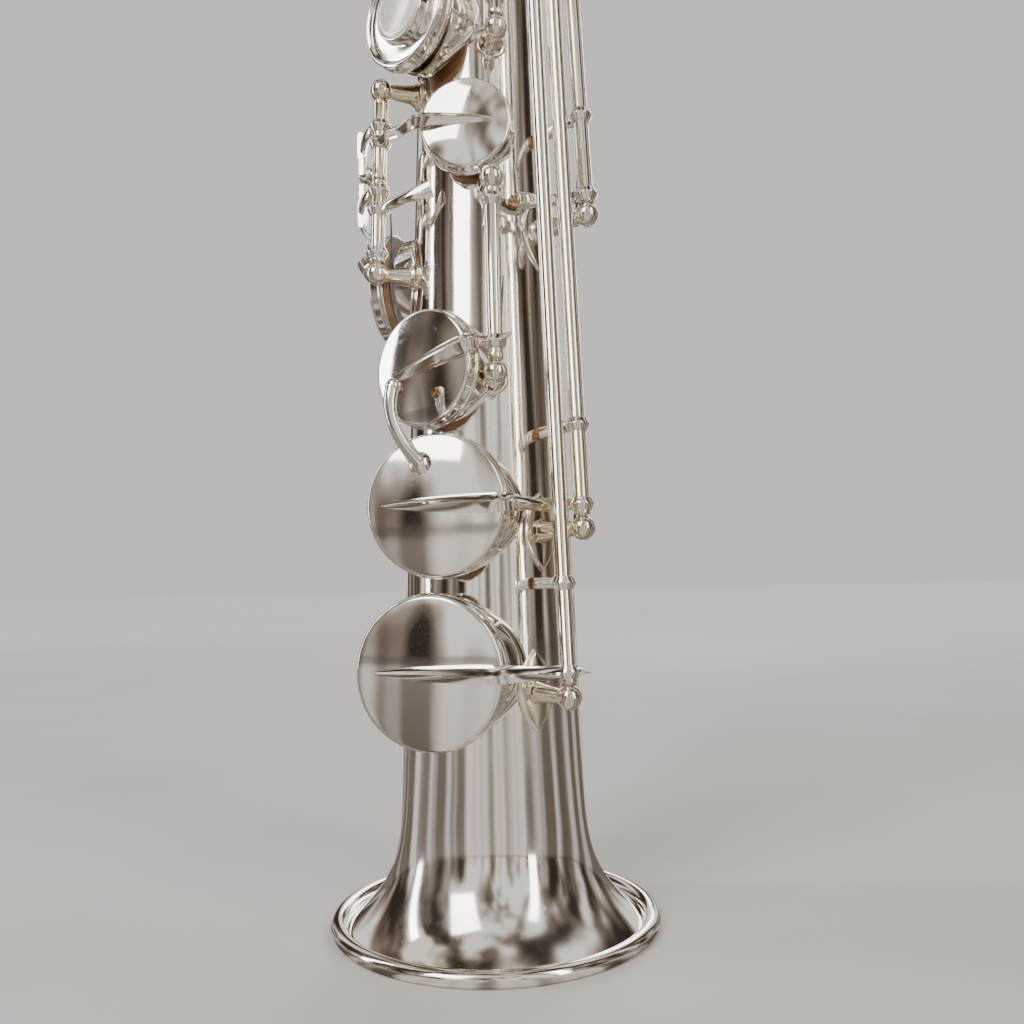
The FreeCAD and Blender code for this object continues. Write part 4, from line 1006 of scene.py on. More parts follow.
SPEAR, PEARL_CUP, PLAIN = CupStyle.SPEAR, CupStyle.PEARL, CupStyle.PLAIN
KEYS = [
    Key("low_b_flat", "low_b_flat", 72.8, 24.0, 20.2, (69.9, 388.6), 11.0, True, SPEAR, pad_node=True),
    Key("low_b", "low_b", 115.2, 26.0, 19.0, (112.4, 380.6), 11.0, True, SPEAR, under="low_b_flat",
        pad_node=True),
    Key("low_c_sharp", "low_c_sharp", 153.5, 16.0, 16.5, (153.9, 200.6), 11.0, False, SPEAR, 5.0,
        pad_node=True),
    Key("low_c", "right_little_finger", 186.0, -64.0, 17.0, (187.9, 212.0), 11.0, True, SPEAR, 4.5,
        pad_node=True),
    Key("e_flat", "right_little_finger", 220.5, 42.0, 13.2, (212.4, 236.2), 9.0, False, SPEAR, 3.0,
        pad_node=True),
    Key("d", "right_stack", 257.0, 0.0, 16.2, (250.9, 273.6), 9.0, True, PEARL_CUP, pearl_radius=8.6,
        pad_node=True),
    Key("e", "right_stack", 291.0, 0.0, 15.5, (274.0, 305.1), 9.0, True, PEARL_CUP, pearl_radius=8.6,
        pad_node=True),
    Key("f", "right_stack", 322.5, 0.0, 14.5, (311.9, 336.6), 9.0, True, PEARL_CUP, pearl_radius=8.6,
        pad_node=True),
    Key("f_sharp", "right_stack", 351.0, 0.0, 12.8, (337.0, 360.6), 9.0, True, pad_node=True),
    Key("g", "left_stack", 381.0, 0.0, 12.4, (374.9, 398.6), 9.0, True, PEARL_CUP, pearl_radius=8.0),
    Key("g_sharp", "g_sharp", 411.0, 112.0, 9.6, (402.9, 421.1), 12.0, False, scale=0.75),
    Key("a", "left_stack", 434.0, 0.0, 11.2, (405.4, 448.0), 9.0, True, PEARL_CUP, pearl_radius=7.0),
    Key("b", "left_stack", 470.0, 0.0, 10.2, (448.4, 484.4), 9.0, True, PEARL_CUP, pearl_radius=6.4),
    Key("c", "left_stack", 501.0, 0.0, 8.4, (484.8, 509.6), 9.0, True, scale=0.75),
    Key("palm_d", "palm_d", 525.0, 68.0, 7.4, (517.4, 532.6), 14.0, False, scale=0.7),
    Key("palm_e_flat", "palm_e_flat", 553.0, 68.0, 7.0, (546.4, 559.6), 14.0, False, scale=0.7),
    Key("side_b_flat", "side_b_flat", 452.0, -42.0, 8.4, (337.4, 457.6), 12.0, False, arm_rise=0.3,
        scale=0.75),
    Key("side_c", "side_c", 486.0, -52.0, 7.6, (361.4, 491.6), 12.0, False, scale=0.7),
]
KEY = {key.name: key for key in KEYS}
STACK_KEYS = ("d", "e", "f", "f_sharp", "g", "a", "b", "c")

# Keys with a touch beyond the hinge: z of its arm; turn, height above the body and z of the touch; its size.
FAR_TOUCHES = {
    "palm_d": (520.0, 140.0, 13.0, 503.0, (5.0, 9.0)),
    "palm_e_flat": (549.0, 140.0, 15.0, 530.0, (5.0, 9.0)),
    "side_b_flat": (341.0, -112.0, 15.0, 320.0, (4.6, 8.0)),
    "side_c": (365.0, -128.0, 14.0, 344.0, (4.6, 8.0)),
}


# ------------------------------------------------------------ the horn


@dataclass
class Horn:
    """Body, bell, chimneys, neck and octave vents."""

    wall: float = 0.7
    bell_top: float = 44.0
    body_top: float = 575.0
    rim_radius: float = 46.0
    bead_radius: float = 2.1
    bead_flat: float = 0.15
    flare_power: float = 4.2
    chimney_wall: float = 0.9
    fillet: float = 1.3
    vents: tuple[tuple[float, float], ...] = ((432.0, -128.0), (592.0, -128.0))
    vent_radius: float = 2.0
    vent_height: float = 4.5

    def outer(self, z: float) -> float:
        """Outer radius of the body or the bell at that height."""
        if z >= self.bell_top:
            return TAPER.radius(z)
        share = 1 - z / self.bell_top
        low = TAPER.radius(0)
        straight = TAPER.radius(self.bell_top) * (1 - share) + low * share
        return straight + (self.rim_radius - self.bead_radius - low) * share**self.flare_power

    def heights(self, step: float) -> list[float]:
        """Heights of the shell's rows: close together in the flare, then even.

        Args:
            step: spacing of the even rows.

        Returns:
            Heights from the rim up to the top of the body.
        """
        flare_rows = 44
        flare = [self.bell_top * (k / flare_rows) ** 1.7 for k in range(flare_rows)]
        rows = round((self.body_top - self.bell_top) / step)
        return flare + [self.bell_top + (self.body_top - self.bell_top) * k / rows for k in range(rows + 1)]

    def pierced(self, point: Vector, margin: float) -> bool:
        """True if a tone hole opens at that point of the shell.

        Args:
            point: point of the shell.
            margin: how much wider than the chimney the opening is.

        Returns:
            True inside an opening.
        """
        for key in KEYS:
            local = point - UP * key.z
            if abs(local.z) < key.hole() + margin and local.dot(outward(key.turn)) > 0:
                if math.hypot(local.z, local.dot(along(key.turn))) < key.hole() + margin:
                    return True
        return False

    def skin(self, inset: float, step: float, segments: int, margin: float) -> Blank:
        """Shell of the body and bell with its tone holes open.

        Args:
            inset: depth under the outer surface.
            step: spacing of its rows.
            segments: pieces round it.
            margin: how much wider than the chimneys the openings are.

        Returns:
            The shell.
        """
        blank = Blank()
        rows = self.heights(step)
        angles = [360 * k / segments for k in range(segments)]
        rings = [blank.ring([outward(a) * (self.outer(z) - inset) + UP * z for a in angles]) for z in rows]
        for low, high in zip(rings, rings[1:]):
            for k in range(segments):
                n = (k + 1) % segments
                middle = (blank.points[low[k]] + blank.points[high[n]]) * 0.5
                if not self.pierced(middle, margin):
                    blank.faces.append((low[k], low[n], high[n], high[k]))
        return blank

    def chimney(self, key: Key) -> Blank:
        """Drawn tone hole: a fillet out of the body, a flat rim and the wall down into the bore.

        Args:
            key: the key over it.

        Returns:
            The chimney.
        """
        blank = Blank()
        radius, count = key.hole(), 96
        rim = TAPER.radius(key.z) + key.chimney_rise
        inner = radius - self.chimney_wall

        def ring(reach: float, level: Callable[[float], float]) -> list[int]:
            """Adds a ring round the hole.

            Args:
                reach: its radius.
                level: gives its distance from the bore's axis, from that of the body's surface under it.

            Returns:
                Numbers of its points.
            """
            points = []
            for k in range(count):
                a = 2 * math.pi * k / count
                across, up = reach * math.cos(a), reach * math.sin(a)
                floor = math.sqrt(max(TAPER.radius(key.z + up) ** 2 - across**2, 1.0))
                points.append(along(key.turn) * across + outward(key.turn) * level(floor) + UP * (key.z + up))
            return blank.ring(points)

        rings, fillet_steps = [], 6
        for k in range(fillet_steps + 1):
            a = math.pi / 2 * k / fillet_steps
            rise = self.fillet * (1 - math.cos(a))
            rings.append(ring(radius + self.fillet * (1 - math.sin(a)), lambda floor,
                              rise=rise: floor + rise - 0.02))
        for reach, drop in ((radius, 0.3), (radius - 0.08, 0.08), (radius - 0.3, 0.0), (inner + 0.3, 0.0),
                            (inner, 0.3)):
            rings.append(ring(reach, lambda floor, drop=drop: rim - drop))
        rings.append(ring(inner, lambda floor: floor - self.wall - 0.3))
        for first, second in zip(rings, rings[1:]):
            blank.bridge(first, second)
        return blank

    def bead(self) -> Blank:
        """Bead rolled round the rim, with the narrow flat that it stands on."""
        blank = Blank()
        profile = []
        count = 28
        for k in range(count):
            a = 2 * math.pi * k / count
            height = self.bead_radius * math.sin(a) + self.bead_radius - self.bead_flat
            profile.append((self.rim_radius - self.bead_radius + self.bead_radius * math.cos(a),
                            max(height, 0.0)))
        blank.turned(profile, Matrix.Identity(4), 192, ring=True)
        return blank

    def neck(self) -> Blank:
        """Neck tube, open at the top."""
        blank = Blank()
        low, top = TAPER.radius(self.body_top), TAPER.tip
        profile = [(low, self.body_top), (top, TAPER.top), (top - self.wall, TAPER.top),
                   (low - self.wall, self.body_top)]
        blank.turned(eased(profile, 0.2), Matrix.Identity(4), 64, ring=True)
        return blank

    def neck_ring(self) -> Blank:
        """Turned ring between body and neck, with a groove on each side of its bead."""
        blank = Blank()
        surface = TAPER.radius(self.body_top)
        wide = surface + 1.3
        half = [(wide, 1.1), (wide - 0.45, 1.5), (wide, 1.9), (wide, 3.0)]
        half += [(wide - 0.5, 3.5), (surface - 0.1, 3.5)]
        steps = [(radius, -height) for radius, height in reversed(half)] + half
        profile = eased(steps, 0.22)
        blank.turned(profile, Matrix.Translation(UP * self.body_top), 96, ring=True)
        return blank

    def vent_tubes(self) -> Blank:
        """Small soldered tubes of the two octave vents."""
        blank = Blank()
        r, high = self.vent_radius, self.vent_height
        profile = [(0.9, high - 2.5), (0.9, high), (r, high), (r, 1.2), (r + 1.6, 0.7), (r + 1.8, -0.4),
                   (0.9, -0.4)]
        for z, turn in self.vents:
            blank.turned(eased(profile, 0.25), standing(turn, z, TAPER.radius(z)), 32, ring=True)
        return blank

    def build(self) -> None:
        """Makes every piece of the horn."""
        shell = self.skin(0.0, 1.3, 128, 0.4)
        shell.piece("body_and_bell", SHELL_SILVER, nodes=("body_tube", "bell"), crease=60)
        bore = self.skin(self.wall, 2.2, 96, -0.2)
        bore.piece("bore", BORE_SILVER, crease=60)
        chimneys = Blank()
        for key in KEYS:
            chimneys.add(self.chimney(key))
        chimneys.piece("tone_hole_chimneys", SHELL_SILVER, crease=50)
        self.bead().piece("bell_bead", SHELL_SILVER, nodes=("bell_rim_bead",))
        self.neck().piece("neck", SHELL_SILVER, nodes=("neck_tube",))
        self.neck_ring().piece("neck_band", KEY_SILVER, nodes=("neck_ring",))
        self.vent_tubes().piece("vents", KEY_SILVER, nodes=("octave_vents",))


# ------------------------------------------------------------ posts and rods


@dataclass
class Posts:
    """Ball-headed posts, their foot plates, the steel rods and the needle springs."""

    ball_radius: float = 3.2
    foot_radius: float = 4.3
    plate: float = 0.8
    leaf_length: float = 11.0
    leaf_width: float = 5.6
    rod_radius: float = 1.1
    spring_radius: float = 0.35

    def post(self, hinge: Hinge, z: float) -> Blank:
        """One post: a tapered stalk with a small foot, and its ball.

        Args:
            hinge: the hinge that it carries.
            z: its height up the bore.

        Returns:
            The post.
        """
        blank = Blank()
        ball = hinge.at(z)
        turn = turn_of(ball)
        root = TAPER.spot(turn, self.plate - 0.1, z)
        length = (ball - root).length
        neck = length - self.ball_radius * 0.75
        stalk = [(0, 0), (3.5, 0), (3.1, 0.7), (2.75, 1.4), (2.0, neck - 0.5), (2.15, neck), (0, neck)]
        blank.turned(eased(stalk, 0.4), aimed(root, ball), 32)
        count = 20
        angles = [math.pi * k / count for k in range(count + 1)]
        arc = [(self.ball_radius * math.sin(a), -self.ball_radius * math.cos(a)) for a in angles]
        arc[0], arc[-1] = (0.0, arc[0][1]), (0.0, arc[-1][1])
        blank.turned(arc, aimed(ball, ball + hinge.direction()), 36)
        return blank

    def foot(self, hinge: Hinge, z: float) -> Blank:
        """Foot plate that follows the body: a pointed leaf under the long rods, else a disc.

        Args:
            hinge: the hinge of its post.
            z: height of the post.

        Returns:
            The plate.
        """
        blank = Blank()
        turn = turn_of(hinge.at(z))
        leaf = hinge.leaf_foot and z == hinge.low[2]
        count = 64
        rings = []
        for reach, lift in ((0.0, self.plate), (0.5, self.plate), (0.86, self.plate), (0.94, 0.72),
                            (0.99, 0.45), (1.0, -0.2)):
            points = []
            for k in range(count if reach else 1):
                a = 2 * math.pi * k / count
                if leaf:
                    up = math.copysign(abs(math.sin(a)) ** 0.9, math.sin(a))
                    across = math.copysign(1 - up * up, math.cos(a)) * self.leaf_width
                    up *= self.leaf_length
                else:
                    across, up = self.foot_radius * math.cos(a), self.foot_radius * math.sin(a)
                height = z + up * reach
                shift = math.degrees(across * reach / TAPER.radius(height))
                points.append(TAPER.spot(turn + shift, lift, height))
            rings.append(blank.ring(points))
        for first, second in zip(rings, rings[1:]):
            blank.bridge(first, second)
        return blank

    def rod(self, hinge: Hinge) -> Blank:
        """Steel rod with a slotted screw end in its lowest post.

        Args:
            hinge: the hinge.

        Returns:
            The rod.
        """
        blank = Blank()
        start = hinge.start() - hinge.direction() * (self.ball_radius - 0.1)
        end = hinge.end() + hinge.direction() * (self.ball_radius - 0.1)
        r, length = self.rod_radius, (end - start).length
        profile = [(0, 0.7), (0.42, 0.7), (0.5, 0), (r, 0), (r, length), (0.5, length), (0.42, length - 0.7)]
        blank.turned(eased([*profile, (0, length - 0.7)], 0.12), aimed(start, end), 20)
        return blank

    def spring(self, hinge: Hinge) -> Blank:
        """Tapered needle spring from a post along the hinge tube.

        Args:
            hinge: the hinge.

        Returns:
            The spring.
        """
        blank = Blank()
        root_centre, way = (hinge.end(), -1) if hinge.spring_from_top else (hinge.start(), 1)
        turn = turn_of(root_centre)
        body, across = outward(turn) * -1, along(turn) * hinge.spring_side.value
        root = root_centre + body * 4.5 + across
        tip = root_centre + hinge.direction() * (way * (self.ball_radius + hinge.spring_length))
        tip = tip + body * 3.1 + across * 2.9
        length = (tip - root).length
        r = self.spring_radius
        blank.turned([(0, 0), (r, 0), (r * 0.85, length * 0.6), (r * 0.5, length), (0, length)],
                     aimed(root, tip), 12)
        return blank

    def build(self) -> None:
        """Makes the four groups of pieces."""
        posts, feet, rods, springs = Blank(), Blank(), Blank(), Blank()
        for hinge in HINGES.values():
            rods.add(self.rod(hinge))
            springs.add(self.spring(hinge))
            for z in hinge.post_heights():
                posts.add(self.post(hinge, z))
                feet.add(self.foot(hinge, z))
        posts.piece("posts", ROD_SILVER, nodes=("key_posts",), crease=50)
        feet.piece("foot_plates", ROD_SILVER, nodes=("post_feet",), crease=50)
        rods.piece("rods", STEEL, nodes=("hinge_rods",))
        springs.piece("springs", BLUED, nodes=("needle_springs",))


# ------------------------------------------------------------ keys


@dataclass
class KeyMaker:
    """Makes the brazed metal, pad and pearl of each key."""

    tube_radius: float = 2.2
    collar_radius: float = 3.3
    collar_length: float = 3.4
    cork: float = 1.6
    cork_gap: float = 0.3
    under_depth: float = 6.0

    def cup(self, key: Key) -> Blank:
        """Plain domed cup with a bead round its lower edge.

        Args:
            key: the key.

        Returns:
            The cup, closed over its hole.
        """
        blank = Blank()
        r, s = key.radius, key.scale
        inner = r - key.wall
        lip, edge = 0.5 * s, 1.1 * s
        profile = [(0.0, key.pocket()), (inner, key.pocket()), (inner, 0.0), (r, 0.0), (r, 1.2 * s)]
        profile += [(r - lip, 1.6 * s), (r - lip, key.skirt())]
        profile = eased(profile, 0.35 * s)
        shoulder = r - lip - edge
        for k in range(1, 9):
            a = math.pi / 2 * k / 8 * 0.94
            profile.append((shoulder + edge * math.cos(a), key.skirt() + edge * math.sin(a)))
        for k in range(1, 13):
            reach = shoulder * (1 - k / 12)
            profile.append((max(reach, 0.0), key.crown() + key.dome() * (1 - (reach / shoulder) ** 2)))
        blank.turned(profile, key.place(), 112)
        return blank

    def pearl_cup(self, key: Key) -> Blank:
        """Cup with a raised rim, a flat floor and the holder of its pearl.

        Args:
            key: the key.

        Returns:
            The cup, closed over its hole.
        """
        blank = Blank()
        r = key.radius
        floor = self.floor(key)
        bezel, top = key.pearl_radius + 0.8, floor + 2.6
        inner = r - key.wall
        profile = [
            (0.0, key.pocket()), (inner, key.pocket()), (inner, 0.0), (r, 0.0), (r, 1.1), (r - 0.3, 1.5),
            (r - 0.3, key.skirt() - 0.4), (r - 0.1, key.skirt() + 0.5), (r - 0.8, key.skirt() + 0.8),
            (r - 1.6, key.skirt() + 0.3), (r - 2.2, floor), (bezel + 0.25, floor), (bezel, floor + 0.5),
            (bezel, top - 0.5),
            (bezel - 0.25, top + 0.1), (key.pearl_radius + 0.05, top), (key.pearl_radius, top - 1.7),
            (0.0, top - 1.7),
        ]
        blank.turned(eased(profile, 0.28), key.place(), 96)
        return blank

    def floor(self, key: Key) -> float:
        """Height of a pearl cup's floor above its lower edge."""
        return max(key.skirt() - 0.3, key.pocket() + 0.7)

    def pearl(self, key: Key) -> Blank:
        """Dished touch pearl.

        Args:
            key: the key.

        Returns:
            The pearl.
        """
        blank = Blank()
        top, r = self.floor(key) + 2.6, key.pearl_radius - 0.05
        profile = [(0.0, top - 1.65), (r, top - 1.65), (r, top - 0.1), (r - 0.5, top + 0.22)]
        profile = eased(profile, 0.2)
        profile += [((r - 0.5) * (1 - k / 10), top - 0.32 + 0.54 * ((1 - k / 10) ** 2)) for k in range(1, 11)]
        blank.turned(profile, key.place(), 72)
        return blank

    def pad(self, key: Key) -> Blank:
        """Leather pad with a rolled edge and the mark of the hole pressed into its face.

        Args:
            key: the key.

        Returns:
            The pad.
        """
        blank = Blank()
        s, r = key.scale, key.radius - key.wall - 0.05
        low, high = -key.pad_outside * s, (key.pad_thickness - key.pad_outside) * s
        seat = key.hole() - 0.45
        profile = [(0.0, low + 0.05), (seat - 1.6, low), (seat - 0.7, low), (seat, low + 0.22),
                   (seat + 0.7, low + 0.02)]
        for k in range(9):
            a = math.pi / 2 * k / 8
            roll = min(0.9 * s, high - low - 0.3)
            profile.append((r - roll + roll * math.sin(a), low + roll - roll * math.cos(a)))
        profile += [(r, high), (0.0, high)]
        blank.turned(profile, key.place(), 96)
        return blank

    def rivet(self, key: Key) -> Blank:
        """Small domed rivet in the middle of a pad.

        Args:
            key: the key.

        Returns:
            The rivet.
        """
        blank = Blank()
        low = -key.pad_outside * key.scale
        profile = [(0.0, low - 0.12), (1.1, low - 0.02), (1.9, low + 0.06), (2.0, low + 0.3),
                   (0.0, low + 0.3)]
        blank.turned(eased(profile, 0.15), key.place(), 32)
        return blank

    def tube(self, hinge: Hinge, low: float, high: float) -> Blank:
        """Hinge tube with a faint bead at each end.

        Args:
            hinge: its hinge.
            low: height of its lower end.
            high: height of its upper end.

        Returns:
            The tube.
        """
        blank = Blank()
        start, end = hinge.at(low), hinge.at(high)
        length, r = (end - start).length, self.tube_radius
        profile = [(1.15, 0), (r - 0.1, 0), (r, 0.3), (r, 1.3), (r - 0.12, 1.5), (r - 0.12, length - 1.5)]
        profile += [(r, length - 1.3), (r, length - 0.3), (r - 0.1, length), (1.15, length)]
        blank.turned(profile, aimed(start, end), 32, ring=True)
        return blank

    def collar(self, hinge: Hinge, z: float, length: float = 0.0) -> Blank:
        """Ring with a pointed crest round the hinge tube.

        Args:
            hinge: its hinge.
            z: its height.
            length: its length, or 0 for the usual one.

        Returns:
            The collar.
        """
        blank = Blank()
        half = (length or self.collar_length) / 2
        r = self.collar_radius
        profile = [(self.tube_radius - 0.3, -half), (r - 0.8, -half), (r - 0.6, -half * 0.7), (r, 0)]
        profile += [(r - 0.6, half * 0.7), (r - 0.8, half), (self.tube_radius - 0.3, half)]
        blank.turned(eased(profile, 0.15), aimed(hinge.at(z), hinge.at(z) + hinge.direction()), 36, ring=True)
        return blank

    def arm(self, key: Key) -> Blank:
        """Arm from the cup's top to the hinge tube.

        Args:
            key: the key.

        Returns:
            The arm, closed over its hole.
        """
        blank = Blank()
        r, top, dome = key.radius, key.top(), key.dome()
        out, way = outward(key.turn), along(key.turn) * key.side()
        pivot = key.line().at(key.z + key.arm_rise)
        centre = UP * key.z
        reach, height = (pivot - centre).dot(way), (pivot - centre).dot(out)
        side = key.line().direction()

        def spot(across: float, level: float) -> Vector:
            """Point of the arm's middle line, that far from the cup's axis and the bore's axis."""
            return centre + way * across + out * level + UP * (key.arm_rise * across / reach)

        if key.style is CupStyle.SPEAR:
            stations = [
                (spot(-0.74 * r, top + dome * 0.36), 0.2, 0.2), (spot(-0.5 * r, top + dome * 0.7), 1.0, 0.8),
                (spot(-0.15 * r, top + dome), 1.75, 1.5), (spot(0.25 * r, top + dome), 2.2, 2.0),
                (spot(0.65 * r, top + dome * 0.85), 2.5, 2.2), (spot(0.98 * r, top + 0.6), 2.4, 2.1),
            ]
            if key.under:
                stations += self.ducking(key, pivot)
            else:
                middle = spot(0.5 * (0.98 * r + reach), 0.5 * (top + 0.5 + height) + 0.7)
                stations += [(middle, 1.8, 1.7), (spot(reach - 0.4, height + 0.5), 1.7, 1.7)]
                stations += [(spot(reach + 3.0, height + 0.6), 1.1, 1.1),
                             (spot(reach + 6.0, height + 0.6), 0.2, 0.2)]
            blank.limb(stations, side, Section.RIDGE)
            return blank
        plain = key.style is CupStyle.PLAIN
        start = -0.1 * r if plain else key.pearl_radius + 0.35
        level = top + (0.5 if plain else -0.5)
        span = reach - start
        stations = [
            (spot(start, level - 0.2), 1.0, 0.9), (spot(start + 0.35 * span, level + 0.1), 1.6, 1.3),
            (spot(start + 0.68 * span, 0.6 * level + 0.4 * height + 0.4), 1.6, 1.4),
            (spot(reach - 0.3, height + 0.2), 1.5, 1.4),
        ]
        blank.limb(stations, side, Section.RIDGE)
        return blank

    def ducking(self, key: Key, pivot: Vector) -> list[Station]:
        """Stations of an arm that passes between the body and another rod.

        Args:
            key: the key.
            pivot: where the arm ends.

        Returns:
            The stations from the cup's edge on.
        """
        below = HINGES[key.under].at(key.z + key.arm_rise)
        turn = turn_of(below)
        duck, tail = below - outward(turn) * self.under_depth, along(turn) * key.side()
        rising = duck + (pivot - duck) * 0.55 + tail * 0.6
        return [(duck - tail * 6.0, 1.8, 1.3), (duck, 1.8, 1.2), (rising, 1.7, 1.2), (pivot, 1.6, 1.4)]

    def metal(self, key: Key) -> Blank:
        """Cup and arm, turned to where the key stands by itself, with its tube and collar.

        Args:
            key: the key.

        Returns:
            The metal.
        """
        cup = self.pearl_cup(key) if key.style is CupStyle.PEARL else self.cup(key)
        blank = cup.add(self.arm(key)).moved(key.rest())
        blank.add(self.collar(key.line(), key.z + key.arm_rise))
        return blank

    def fitted(self, key: Key, extra: Optional[Blank] = None) -> None:
        """Makes the pieces of one key.

        Args:
            key: the key.
            extra: its touch, stops and levers, drawn where they stand.
        """
        metal = self.metal(key)
        if extra:
            metal.add(extra)
        metal.piece(key.name + "_cup", KEY_SILVER, key.body(), (key.name + "_key",), crease=42)
        self.tube(key.line(), *key.tube).piece(key.name + "_tube", ROD_SILVER, key.body())
        nodes = (key.name + "_pad",) if key.pad_node else ()
        pad = self.pad(key).moved(key.rest()).piece(key.name + "_leather", LEATHER, key.body(), nodes,
                                                    crease=80)
        if key.pad_node:
            self.rivet(key).moved(key.rest()).piece(key.name + "_rivet", STEEL, key.body())
        if key.pearl_radius:
            pearl = self.pearl(key).moved(key.rest())
            pearl.piece(key.name + "_touch", PEARL, key.body(), (key.name + "_pearl",), crease=80)

    def stop(self, hinge: Hinge, z: float, shift: float) -> tuple[Blank, Blank]:
        """Foot that stops a key against the body.

        Args:
            hinge: the key's hinge.
            z: its height.
            shift: turn by which its tip lies beside the hinge.

        Returns:
            The metal, and its cork.
        """
        metal, cork = Blank(), Blank()
        pivot = hinge.at(z)
        tip = TAPER.spot(turn_of(pivot) + shift, self.cork_gap + self.cork, z)
        way = (tip - pivot).normalized()
        side = hinge.direction()
        stations = [(pivot, 1.5, 1.3), (pivot + (tip - pivot) * 0.5, 1.5, 1.1), (tip, 1.6, 1.5)]
        metal.limb(stations, side, Section.STRAP)
        metal.add(self.collar(hinge, z))
        cork.limb([(tip, 1.6, 1.5), (tip + way * (self.cork * 0.97), 1.6, 1.5)], side, Section.STRAP)
        return metal, cork

    def far_touch(self, key: Key, z: float, turn: float, off: float, touch_z: float,
                  size: tuple[float, float]) -> Blank:
        """Curved touch beyond the hinge, with its arm.

        Args:
            key: the key.
            z: where its arm leaves the tube.
            turn: turn of the touch.
            off: its height above the body.
            touch_z: height of its middle.
            size: half width and half length.

        Returns:
            The touch and its arm.
        """
        blank = Blank()
        pivot, across = key.line().at(z), along(turn)
        near, far = TAPER.spot(turn, off, touch_z + size[1]), TAPER.spot(turn, off - 1.0, touch_z - size[1])
        path = bent(near, (near + far) * 0.5 + outward(turn) * 0.8, far, 5)
        shares = (0.6, 0.95, 1.0, 0.95, 0.55)
        blank.limb([(p, size[0] * w, TOUCH_HALF) for p, w in zip(path, shares)], across, Section.STRAP)
        crest = (pivot + near) * 0.5 + outward(turn) * 2.5
        arm = [(p, 1.5, 1.1) for p in bent(pivot, crest, near - UP * 2.0, 5)]
        blank.limb(arm, key.line().direction() + across * 0.3)
        return blank.add(self.collar(key.line(), z))


